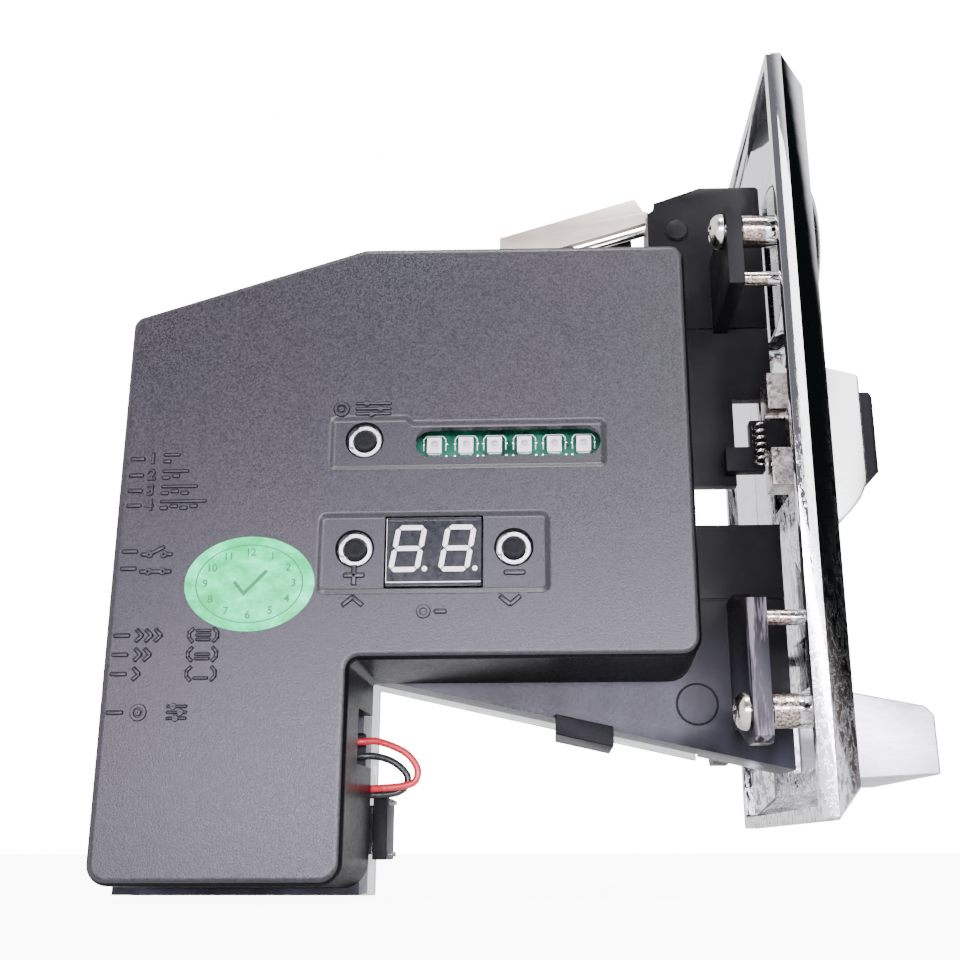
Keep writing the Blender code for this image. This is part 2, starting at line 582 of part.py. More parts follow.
# ---------------------------------------------------------------- coin door and its lever
def coin_door():
    """Hinged far wall of the runway, hanging from the sloping pin."""
    outline = [(-66.0, 24.4), (-19.6, 38.3), (-19.6, 7.8), (-66.0, -6.1)]
    door = plate_y("coin_door", outline, DOOR_Y, black_plastic())
    cut(door, rod("coil_seat", "y", (-38.0, 0, 14.0), 5.0, (DOOR_Y[0] - 1, DOOR_Y[1] + 2), 20))
    for x0, x1 in ((-57.0, -51.0), (-38.0, -32.0)):
        low, high = hinge_z(x0) - 15.0, hinge_z(x0) + 2.6
        join(door, plate_y("knuckle", [(x0, high), (x1, high + RUN_SLOPE * (x1 - x0)),
                                       (x1, low), (x0, low)], (DOOR_Y[0], HINGE_Y + 2.4)))
    strap = [(x, hinge_z(x) + rise) for x, rise in ((-37.0, 1.6), (-20.4, 1.6), (-20.4, -1.4), (-37.0, -1.4))]
    join(door, plate_y("strap", strap, (HINGE_Y + 1.1, HINGE_Y + 2.4)))
    for x in (-60.0, -25.4):
        join(door, plate_y("rib", [(x, hinge_z(x) - 16.0), (x + 1.4, hinge_z(x) - 15.6),
                                   (x + 1.4, hinge_z(x) - 42.0), (x, hinge_z(x) - 42.4)],
                           (DOOR_Y[1] - 0.5, DOOR_Y[1] + 2.0)))
    cut(door, hinge_rod("knuckle_bore", 1.05, -70.0, -10.0))
    return origin_at(door, (HINGE_POINT[0], HINGE_Y, HINGE_POINT[1]))


def door_pin():
    return hinge_rod("door_hinge_pin", 0.75, -65.0, -12.4, nickel())


def reject_lever():
    """Plated lever fixed above the door's knuckles, worked by the button's arm."""
    foot = 0.4
    rise = 6.0
    y = (1.6, 3.0)
    x0, x1, tip = -46.6, -19.9, -17.8
    web = [(x0, hinge_z(x0) + foot), (x0, hinge_z(x0) + foot + rise), (x1, hinge_z(x1) + foot + rise),
           (tip, hinge_z(tip) + foot + 1.8), (tip, hinge_z(tip) + foot)]
    lever = plate_y("reject_lever", web, y, nickel())
    join(lever,
         plate_y("top_flange", [(x0, hinge_z(x0) + foot + rise - 1.2), (x0, hinge_z(x0) + foot + rise),
                                (x1, hinge_z(x1) + foot + rise), (x1, hinge_z(x1) + foot + rise - 1.2)],
                 (y[0] + 0.4, HINGE_Y + 2.4)),
         plate_y("tab", [(-20.6, 52.6), (-20.6, 54.2), (-17.3, 54.2), (-17.3, 52.6)], y))
    return origin_at(lever, (HINGE_POINT[0], HINGE_Y, HINGE_POINT[1]))


def door_spring():
    """Torsion spring round the hinge pin, between the knuckles."""
    points = []
    x0, x1, turns, steps = -49.0, -40.0, 7, 12
    for i in range(turns * steps + 1):
        a = 2 * pi * i / steps
        x = x0 + (x1 - x0) * i / (turns * steps)
        points.append((x, HINGE_Y + 1.3 * cos(a), hinge_z(x) + 1.3 * sin(a)))
    return tube("door_spring", points, 0.25, nickel(), resolution=1)


# ---------------------------------------------------------------- lower side cover and its clips
def clear_side_cover():
    """Clear far wall of the leg and of the return chute, standing proud of the body's edges."""
    outline = [(-110.4, 15.6), (-68.4, 22.4), (-68.4, -10.6), (-12.6, -10.6), (-12.6, -52.5),
               (-68.1, -40.0), (-68.1, -74.9), (-110.4, -74.9)]
    cover = plate_y("clear_side_cover", outline, CLEAR_Y, material("clear_plastic", (0.85, 0.87, 0.88), 0.1))
    cut(cover,
        plate_y("gate_way", gate_outline(-0.6, 2.6), (CLEAR_Y[0] - 1, CLEAR_Y[1] + 1)))
    return cover


def latch_clips():
    """Two black clips that hold the clear cover on the body."""
    x0, x1 = -37.0, -27.4

    def band(inset, high, low):
        a, b = x0 + inset, x1 - inset
        return [(a, edge(a) + high), (b, edge(b) + high), (b, edge(b) - low), (a, edge(a) - low)]

    def edge(x):
        return -54.8 - CHUTE_SLOPE * (x - 2.5)
    near = (BODY_NEAR - GAP - 1.1, BODY_NEAR - GAP)
    far = (CLEAR_Y[1] + GAP, CLEAR_Y[1] + GAP + 1.4)
    clip = plate_y("chute_clip", band(0, -1.45, 3.0), (near[0], far[1]), black_plastic())
    join(clip,
         plate_y("near_lip", band(0, 0.4, 2.4), near),
         plate_y("hook", band(1.0, 3.5, 2.4), far))
    leg = box("leg_clip", (-67.8, -65.4), (-2.9, far[1]), (-69.0, -58.8), black_plastic())
    join(leg, box("hook", (-73.0, -66.2), far, (-68.0, -59.8)))


# ---------------------------------------------------------------- solenoid and accept gate
def gate_outline(pull_in=0.0, thick=1.6):
    """Sloping blade across the top of the leg."""
    x0, z0, x1, z1 = -101.0, -18.0, -70.6, -33.0
    half = thick / 2
    return [(x0 + pull_in, z0 + half), (x1 - pull_in, z1 + half), (x1 - pull_in, z1 - half),
            (x0 + pull_in, z0 - half)]


def solenoid():
    """Open-frame solenoid on the far side; its plunger draws the gate out of the coin path."""
    x, z = SOLENOID
    foot = CLEAR_Y[1] + GAP + 1.9
    y0 = foot + 7.5
    y1 = y0 + 13.6
    frame = box("solenoid_frame", (x - 8.0, x + 8.0), (CLEAR_Y[1] + GAP, y1), (z - 8.4, z + 8.4),
                material("zinc_steel", (0.62, 0.62, 0.60), 0.35, 1.0))
    cut(frame,
        box("inside", (x - 9, x + 9), (y0 + 1.4, y1 - 1.4), (z - 7.0, z + 7.0)),
        box("gate_room", (x - 9, x + 9), (CLEAR_Y[1] - 1, y0), (z - 7.0, z + 7.0)),
        rod("plunger_hole", "y", (x, 0, z), 3.0, (y0 - 1, y1 + 1), 20))
    coil_body = turned("solenoid_coil", "y", (x, 0, z), [
        (y0 + 1.4 + GAP, 6.6), (y1 - 1.4 - GAP, 6.6)], 24, material("coil_tape", (0.75, 0.62, 0.12), 0.4))
    cut(coil_body, rod("bore", "y", (x, 0, z), 3.0, (y0, y1), 20))
    plunger = turned("solenoid_plunger", "y", (x, 0, z), [
        (foot + GAP, 2.0), (y0 - 0.5, 2.0), (y0 - 0.5, 2.6), (y1 - 5.0, 2.6)], 20,
        material("zinc_steel", (0.62, 0.62, 0.60), 0.35, 1.0))
    origin_at(plunger, (x, y1 - 5.0, z))
    coil("solenoid_spring", "y", (x, 0, z), 3.0, 0.25, (foot + 0.6, y0 - 0.6), 4, nickel())
    gate = plate_y("accept_gate", gate_outline(), (-1.6, CLEAR_Y[1] + GAP + 1.0), black_plastic())
    join(gate, box("gate_foot", (x - 6.0, x + 6.0), (foot - 1.5, foot), (z - 5.5, z + 5.5)))
    origin_at(gate, (x, CLEAR_Y[1] + GAP, z))


# ---------------------------------------------------------------- fasteners, springs and wires
def ear_screws():
    """Pan-head cross screws through the ears into the panel's bosses."""
    number = 0
    for z, ear_face in ((TOP_SCREW_Z, TOP_EAR_X[0]), (LOW_SCREW_Z, LOW_EAR_X[0])):
        for y in (-EAR_Y, EAR_Y):
            number += 1
            top = ear_face - GAP
            screw = turned("ear_screw_%d" % number, "x", (0, y, z), [
                (top - 2.2, 1.2), (top - 1.9, 2.2), (top - 1.1, SCREW_HEAD_R), (top, SCREW_HEAD_R),
                (top, SCREW_R), (1.4, SCREW_R)], 20, nickel())
            cut(screw,
                box("cross_a", (top - 3, top - 1.1), (y - 1.6, y + 1.6), (z - 0.35, z + 0.35)),
                box("cross_b", (top - 3, top - 1.1), (y - 0.35, y + 0.35), (z - 1.6, z + 1.6)))


def lead_wires():
    """The light emitter's two leads: off the board, out of the leg in a slack loop, and back in."""
    red_y, black_y = -5.5, -3.9
    red = [(-84.0, PCB_TOP + PCB_THICK + 0.7, -49.0), (-80.0, -16.0, -49.2), (-74.4, -9.6, -49.8),
           (-71.4, -6.7, -49.9), (-69.4, -5.7, -49.8), (-66.7, red_y, -49.8), (-62.6, red_y, -51.4),
           (-60.5, red_y, -53.5), (-60.1, red_y, -55.4), (-61.4, red_y, -56.9), (-66.6, red_y, -57.5),
           (-69.4, -5.4, -57.5), (-71.8, -6.7, -57.2), (-75.6, -8.8, -56.2), (-82.0, -9.6, -53.8),
           (-86.6, -8.6, -51.6), (-87.4, -6.6, -51.2)]
    black = [(-84.0, PCB_TOP + PCB_THICK + 0.7, -52.2), (-80.0, -15.4, -52.2), (-74.6, -8.2, -52.2),
             (-71.4, -5.3, -52.1), (-69.4, -4.2, -52.1), (-67.6, black_y, -52.1), (-65.2, black_y, -52.7),
             (-63.1, black_y, -54.0), (-61.9, black_y, -55.7), (-62.5, black_y, -57.4),
             (-64.4, black_y, -58.3), (-67.6, black_y, -58.5), (-69.4, -4.2, -58.5), (-71.8, -5.8, -58.4),
             (-76.0, -8.0, -58.0), (-83.0, -9.2, -55.8), (-88.2, -8.6, -53.4), (-88.6, -6.6, -52.8)]
    tube("red_wire", smooth_route(red), 0.6, material("red_pvc", (0.72, 0.03, 0.05), 0.35))
    tube("black_wire", smooth_route(black), 0.6, material("black_pvc", (0.03, 0.035, 0.03), 0.4))


def build():
    for old in list(bpy.data.objects):
        bpy.data.objects.remove(old)
    front_panel()
    coin_entry()
    button_bezel()
    reject_button()
    button_guide()
    button_springs()
    return_cup()
    main_body()
    electronics_cover()
    main_pcb()
    for name, (x, z) in KEYS.items():
        front_switch(name, x, z)
    indicator_lights()
    display()
    slide_switch("contact", -26.2, -20.4, -22.4)
    slide_switch("speed", -42.4, -34.6, -38.5)
    rear_set()
    rear_connector()
    sensor_coils()
    light_barrier()
    coin_door()
    door_pin()
    reject_lever()
    door_spring()
    clear_side_cover()
    latch_clips()
    solenoid()
    ear_screws()
    lead_wires()


build()
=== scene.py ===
"""Looks of a multi-coin acceptor with a counting display: materials, fine shapes, light and camera.

Lengths are in millimetres unless a name says otherwise: X from the front panel's rear rim,
Y from the panel's middle and Z from the panel's mid-height. The mesh helpers turn them into
metres from the frame's origin. +X leaves the panel, -Y faces the camera, +Z is up.
"""

import json
from math import cos, pi, radians, sin, tan

import bmesh
import bpy
from mathutils import Matrix, Vector


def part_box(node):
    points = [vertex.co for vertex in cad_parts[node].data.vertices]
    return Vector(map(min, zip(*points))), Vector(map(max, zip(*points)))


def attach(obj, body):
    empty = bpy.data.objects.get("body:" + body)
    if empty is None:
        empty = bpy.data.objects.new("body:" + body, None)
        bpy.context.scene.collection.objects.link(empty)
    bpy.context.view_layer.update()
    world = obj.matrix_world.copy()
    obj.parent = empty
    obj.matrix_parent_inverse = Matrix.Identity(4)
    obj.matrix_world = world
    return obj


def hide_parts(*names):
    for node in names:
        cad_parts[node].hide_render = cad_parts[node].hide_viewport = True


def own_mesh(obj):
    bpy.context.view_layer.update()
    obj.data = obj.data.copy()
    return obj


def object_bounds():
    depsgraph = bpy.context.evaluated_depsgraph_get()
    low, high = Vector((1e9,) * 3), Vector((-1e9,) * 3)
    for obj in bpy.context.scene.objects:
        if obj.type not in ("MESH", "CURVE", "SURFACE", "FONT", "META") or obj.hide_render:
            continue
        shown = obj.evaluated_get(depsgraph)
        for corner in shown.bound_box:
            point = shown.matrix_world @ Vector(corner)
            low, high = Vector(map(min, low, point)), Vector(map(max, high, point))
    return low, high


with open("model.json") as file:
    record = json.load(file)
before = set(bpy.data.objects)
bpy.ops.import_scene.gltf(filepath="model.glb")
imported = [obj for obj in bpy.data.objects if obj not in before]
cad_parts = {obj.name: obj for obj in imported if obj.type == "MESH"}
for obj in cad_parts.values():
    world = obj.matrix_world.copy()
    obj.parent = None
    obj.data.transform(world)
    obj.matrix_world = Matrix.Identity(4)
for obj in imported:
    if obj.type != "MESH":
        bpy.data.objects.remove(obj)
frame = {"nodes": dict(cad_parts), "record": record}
cad_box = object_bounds()

MM = 0.001
RIM_MID = 62.5                     # the frame's origin to the panel's mid-height
COVER_FACE, COVER_BACK = -26.3, -6.3    # Y of the cover's near face and of its open back
COVER_WALL, COVER_DRAFT, COVER_EDGE = 2.0, 0.9, 1.3
COVER_OUTLINE = [(-107.1, 18.9), (-68.3, 31.1), (-14.6, 30.7), (-14.6, -39.2),
                 (-68.7, -39.2), (-68.7, -72.5), (-106.9, -72.6)]
COVER_RADII = [2.2, 3.0, 2.4, 3.3, 1.6, 3.3, 3.3]
INNER_CORNER = 4                   # the one corner that turns the other way
RECESS = 0.5                       # how far the recesses round the keys are sunk
KEYS = {"set": (-67.4, -3.4), "add": (-68.4, -21.6), "minus": (-43.3, -21.6)}
KEY_HOLE_R = 2.8
LED_X = [-56.4, -51.2, -46.5, -41.6, -36.7, -31.9]
LED_Z = -3.3
PCB_FACE = -21.6                   # Y of the board's near face
ENTRY_Z = 40.5                     # the coin entry's middle
PANEL_FRONT = 8.0                  # X of the panel's raised middle, which carries the entry


# ---------------------------------------------------------------- camera, light and floor
def add_camera():
    """A view of the cover's side from a little below."""
    data = bpy.data.cameras.new("camera")
    data.sensor_width = 36.0
    data.lens = 41.885
    data.shift_x, data.shift_y = -0.0231, 0.0698
    data.clip_start = 0.01
    camera = bpy.data.objects.new("camera", data)
    bpy.context.scene.collection.objects.link(camera)
    forward = Vector((-0.0373, 0.9642, 0.2626)).normalized()
    right = Vector((0.9992, 0.0390, -0.0013))
    up = right.cross(forward).normalized()
    pose = Matrix((forward.cross(up), up, -forward)).transposed().to_4x4()
    pose.translation = Vector((-38.6, -194.7, -5.1)) * MM
    camera.matrix_world = pose
    bpy.context.scene.camera = camera


def add_light(name, location, target, size, power, colour=(1, 1, 1)):
    """A rectangular lamp, placed and aimed in metres."""
    data = bpy.data.lights.new(name, "AREA")
    data.shape = "RECTANGLE"
    data.size, data.size_y = size
    data.energy = power
    data.color = colour
    lamp = bpy.data.objects.new(name, data)
    bpy.context.scene.collection.objects.link(lamp)
    lamp.location = location
    lamp.rotation_euler = (Vector(target) - Vector(location)).to_track_quat("-Z", "Y").to_euler()


def fill_ramp(node, *stops):
    """Gives a colour ramp its (place from 0 to 1, colour or grey) stops."""
    elements = node.color_ramp.elements
    while len(elements) < len(stops):
        elements.new(1.0)
    for element, (where, value) in zip(elements, stops):
        element.position = where
        element.color = (value, value, value, 1) if isinstance(value, (int, float)) else (*value, 1)


def add_world():
    """A bright studio, dark towards +X, which the panel's bevel mirrors, and round the camera."""
    bright, seen = (1.5, 1.5, 1.55, 1), (16.0, 16.0, 16.0, 1)
    to_camera = Vector((-0.05, -0.90, 0.44)).normalized()
    world = bpy.data.worlds.new("studio")
    bpy.context.scene.world = world
    world.use_nodes = True
    nodes, links = world.node_tree.nodes, world.node_tree.links
    nodes.clear()
    way = nodes.new("ShaderNodeTexCoord")
    split = nodes.new("ShaderNodeSeparateXYZ")
    links.new(way.outputs["Generated"], split.inputs[0])
    side = nodes.new("ShaderNodeValToRGB")
    side.color_ramp.interpolation = "EASE"
    fill_ramp(side, (0.60, 0), (0.74, 1))
    links.new(split.outputs["X"], side.inputs[0])
    dark = nodes.new("ShaderNodeValToRGB")
    fill_ramp(dark, (0.38, (0.42, 0.34, 0.33)), (0.56, (0.004, 0.006, 0.006)))
    lift = nodes.new("ShaderNodeMath")
    lift.operation = "MULTIPLY_ADD"
    lift.inputs[1].default_value, lift.inputs[2].default_value = 0.5, 0.5
    links.new(split.outputs["Z"], lift.inputs[0])
    links.new(lift.outputs[0], dark.inputs[0])
    beyond = nodes.new("ShaderNodeMix")
    beyond.data_type = "RGBA"
    links.new(side.outputs[0], beyond.inputs["Factor"])
    beyond.inputs[6].default_value = bright
    links.new(dark.outputs[0], beyond.inputs[7])
    facing = nodes.new("ShaderNodeVectorMath")
    facing.operation = "DOT_PRODUCT"
    facing.inputs[1].default_value = to_camera
    links.new(way.outputs["Generated"], facing.inputs[0])
    card = nodes.new("ShaderNodeValToRGB")
    card.color_ramp.interpolation = "EASE"
    fill_ramp(card, (0.72, 1), (0.93, (0.12, 0.12, 0.13)))
    links.new(facing.outputs["Value"], card.inputs[0])
    shade = nodes.new("ShaderNodeMix")
    shade.data_type = "RGBA"
    shade.blend_type = "MULTIPLY"
    shade.inputs["Factor"].default_value = 1.0
    links.new(beyond.outputs[2], shade.inputs[6])
    links.new(card.outputs[0], shade.inputs[7])
    path = nodes.new("ShaderNodeLightPath")
    mix = nodes.new("ShaderNodeMix")
    mix.data_type = "RGBA"
    links.new(path.outputs["Is Camera Ray"], mix.inputs["Factor"])
    links.new(shade.outputs[2], mix.inputs[6])
    mix.inputs[7].default_value = seen
    back = nodes.new("ShaderNodeBackground")
    out = nodes.new("ShaderNodeOutputWorld")
    links.new(mix.outputs[2], back.inputs[0])
    links.new(back.outputs[0], out.inputs[0])


def add_floor():
    """A large plane just under the object, in metres."""
    half, low = 3.0, cad_box[0].z - 0.0002
    corners = [(-half, -half, low), (half, -half, low), (half, half, low), (-half, half, low)]
    mesh = bpy.data.meshes.new("floor")
    mesh.from_pydata(corners, [], [(0, 1, 2, 3)])
    floor = bpy.data.objects.new("floor", mesh)
    bpy.context.scene.collection.objects.link(floor)
    mesh.materials.append(floor_paper())


def floor_paper():
    """Pale studio paper that the camera sees nearly as bright as the background."""
    paper = surface("floor", (0.90, 0.90, 0.90), (0.93, 0.93, 0.93), (0.7, 0.8), grain=0.02, bump=0.0)
    nodes, links = paper.node_tree.nodes, paper.node_tree.links
    path = nodes.new("ShaderNodeLightPath")
    glow = nodes.new("ShaderNodeMath")
    glow.operation = "MULTIPLY"
    glow.inputs[1].default_value = 9.0
    links.new(path.outputs["Is Camera Ray"], glow.inputs[0])
    shader = nodes["Principled BSDF"]
    shader.inputs["Emission Color"].default_value = (1, 1, 1, 1)
    links.new(glow.outputs[0], shader.inputs["Emission Strength"])
    return paper


# ---------------------------------------------------------------- materials
class Wiring:
    """Short names for the nodes of one material."""

    def __init__(self, name):
        self.material = bpy.data.materials.new(name)
        self.material.use_nodes = True
        self.nodes = self.material.node_tree.nodes
        self.links = self.material.node_tree.links
        self.shader = self.nodes["Principled BSDF"]
        self.place = self.nodes.new("ShaderNodeTexCoord").outputs["Object"]

    def put(self, socket, value):
        """Gives a socket a number, a colour or another node's output."""
        if isinstance(value, tuple):
            socket.default_value = (*value, 1)
        elif isinstance(value, (int, float)):
            socket.default_value = value
        else:
            self.links.new(value, socket)

    def set(self, name, value):
        """Gives the material's shader one of its inputs."""
        self.put(self.shader.inputs[name], value)

    def noise(self, per_mm, detail=2.0, stretch=(1, 1, 1), rough=0.5):
        """Noise with so many features per millimetre."""
        node = self.nodes.new("ShaderNodeTexNoise")
        node.inputs["Scale"].default_value = per_mm / MM
        node.inputs["Detail"].default_value = detail
        node.inputs["Roughness"].default_value = rough
        scale = self.nodes.new("ShaderNodeMapping")
        scale.inputs["Scale"].default_value = stretch
        self.put(scale.inputs[0], self.place)
        self.put(node.inputs["Vector"], scale.outputs[0])
        return node.outputs["Fac"]

    def math(self, operation, a, b):
        node = self.nodes.new("ShaderNodeMath")
        node.operation = operation
        self.put(node.inputs[0], a)
        self.put(node.inputs[1], b)
        return node.outputs[0]

    def ramp(self, factor, *stops):
        """Colours or greys at places from 0 to 1."""
        node = self.nodes.new("ShaderNodeValToRGB")
        fill_ramp(node, *stops)
        self.put(node.inputs[0], factor)
        return node.outputs[0]

    def mix(self, factor, a, b, blend="MIX"):
        node = self.nodes.new("ShaderNodeMix")
        node.data_type = "RGBA"
        node.blend_type = blend
        self.put(node.inputs["Factor"], factor)
        self.put(node.inputs[6], a)
        self.put(node.inputs[7], b)
        return node.outputs[2]

    def along(self, letter, span_mm):
        """A place along an axis: 0 at the origin, 1 after so many millimetres."""
        node = self.nodes.new("ShaderNodeSeparateXYZ")
        self.put(node.inputs[0], self.place)
        return self.math("MULTIPLY", node.outputs[letter], 1000 / span_mm)

    def bump(self, height, depth_mm):
        node = self.nodes.new("ShaderNodeBump")
        node.inputs["Distance"].default_value = depth_mm * MM
        self.put(node.inputs["Height"], height)
        self.set("Normal", node.outputs[0])


def surface(name, low, high, rough, metal=0.0, grain=3.0, bump=0.01, blotch=0.15,
            stretch=(1, 1, 1), coat=0.0, specular=0.5, contrast=0.5):
    """A material whose colour runs from low to high and whose gloss varies, with a fine relief."""
    look = Wiring(name)
    fine = look.noise(grain, 4.0, stretch, 0.6)
    broad = look.noise(blotch, 3.0)
    both = look.math("ADD", look.math("MULTIPLY", fine, 0.6), look.math("MULTIPLY", broad, 0.4))
    edge = 0.25 * (1 - contrast) + 0.12
    look.set("Base Color", look.ramp(both, (0.5 - edge, low), (0.5 + edge, high)))
    look.set("Roughness", look.ramp(both, (0.35, rough[0]), (0.65, rough[1])))
    look.set("Metallic", metal)
    look.set("Coat Weight", coat)
    look.set("Coat Roughness", 0.08)
    look.set("Specular IOR Level", specular)
    if bump:
        look.bump(fine, bump)
    return look.material


def spark_plastic():
    """Black plastic with a spark-eroded texture and a faint violet cast."""
    look = Wiring("cover_face")
    fine = look.noise(3.6, 2.0, rough=0.6)
    cast = look.noise(0.02, 2.0)
    grey = look.ramp(fine, (0.38, 0.004), (0.62, 0.018))
    tint = look.ramp(cast, (0.40, (0.92, 0.92, 1.20)), (0.62, (1.16, 0.90, 1.34)))
    look.set("Base Color", look.mix(1.0, grey, tint, "MULTIPLY"))
    look.set("Roughness", look.ramp(fine, (0.35, 0.34), (0.65, 0.46)))
    look.set("Specular IOR Level", 0.6)
    look.bump(fine, 0.030)
    return look.material


def body_plastic():
    """Smooth black plastic, with a painted reflection of the floor in clouds low on the chute and
    painted streaks of reflected light on the near faces of the ears.
    """
    look = Wiring("body_black")
    fine = look.noise(2.0, 2.0, rough=0.5)
    plain = look.ramp(look.noise(0.12, 2.0), (0.36, (0.005, 0.005, 0.006)),
                      (0.64, (0.010, 0.010, 0.011)))
    # Low on the chute the base colour lifts to a pale grey in clouds: a painted reflection of the
    # bright floor.
    low = look.ramp(look.along("Z", 50), (0.24, 1.0), (0.66, 0.0))
    cloud = look.ramp(look.noise(0.09, 2.0, (1, 1, 0.5)), (0.36, 0.05), (0.66, 1.0))
    floor_reflection = look.mix(look.math("MULTIPLY", low, cloud), plain, (0.060, 0.060, 0.082))
    # On the ears' near faces the base colour gets pale streaks: a painted reflection of the lamp on the
    # right.
    near = look.ramp(look.along("Y", -25), (0.88, 0.0), (0.94, 1.0))
    below = look.ramp(look.along("Z", 50), (0.66, 1.0), (0.72, 0.0))
    streak = look.ramp(look.noise(0.9, 3.0, (1, 1, 0.12), 0.6), (0.46, 0.0), (0.60, 1.0))
    wear_and_sheen = look.math("MULTIPLY", look.math("MULTIPLY", near, below), streak)
    look.set("Base Color", look.mix(wear_and_sheen, floor_reflection, (0.16, 0.14, 0.17)))
    look.set("Roughness", look.ramp(fine, (0.35, 0.28), (0.65, 0.36)))
    look.set("Specular IOR Level", 0.16)
    look.bump(fine, 0.003)
    return look.material


def panel_chrome():
    """Bright plating, pitted low on the rim, with mottled warm bosses behind the rim."""
    look = Wiring("chrome")
    low = look.ramp(look.along("Z", 125), (0.0, 1.0), (0.62, 0.0))
    pits = look.ramp(look.noise(1.1, 5.0, (1, 1, 0.5), 0.7), (0.50, 0.0), (0.56, 1.0))
    wear_and_sheen = look.math("MULTIPLY", pits, low)
    speck = look.ramp(look.noise(2.6, 4.0, rough=0.7), (0.40, (0.16, 0.11, 0.09)),
                      (0.52, (0.48, 0.40, 0.35)), (0.62, (0.86, 0.80, 0.76)))
    clean = look.mix(wear_and_sheen, (0.90, 0.90, 0.92), (0.40, 0.39, 0.40))
    behind = look.ramp(look.along("X", -1), (0.15, 0.0), (0.3, 1.0))
    look.set("Base Color", look.mix(behind, clean, speck))
    gloss = look.math("ADD", look.math("MULTIPLY", wear_and_sheen, 0.22), 0.05)
    look.set("Roughness", look.math("ADD", gloss, look.math("MULTIPLY", behind, 0.16)))
    look.set("Metallic", 1.0)
    waves = look.math("ADD", look.noise(0.12, 2.0), look.math("MULTIPLY", wear_and_sheen, 0.25))
    look.bump(waves, 0.05)
    return look.material


def clear_plastic():
    """Clear moulding with a slightly uneven tint and gloss."""
    look = Wiring("clear_plastic")
    tint, paler = (0.90, 0.93, 0.92), (0.94, 0.97, 0.96)
    look.set("Base Color", look.ramp(look.noise(0.3, 2.0), (0.3, tint), (0.7, paler)))
    look.set("Roughness", look.ramp(look.noise(0.8, 3.0), (0.3, 0.05), (0.7, 0.13)))
    look.set("IOR", 1.49)
    look.set("Transmission Weight", 0.92)
    return look.material


def sticker_film():
    """Mint label film with paler patches, the palest of them a painted glare."""
    look = Wiring("label_film")
    patches = look.noise(0.22, 4.0, (1, 1, 1.6), 0.62)
    # The palest mint stop in this ramp is painted glare on the film.
    look.set("Base Color", look.ramp(patches, (0.40, (0.0, 0.50, 0.14)), (0.56, (0.0, 0.74, 0.27)),
                                     (0.72, (0.10, 0.98, 0.50))))
    look.set("Roughness", look.ramp(patches, (0.3, 0.24), (0.7, 0.42)))
    look.set("Specular IOR Level", 0.15)
    look.bump(patches, 0.03)
    return look.material


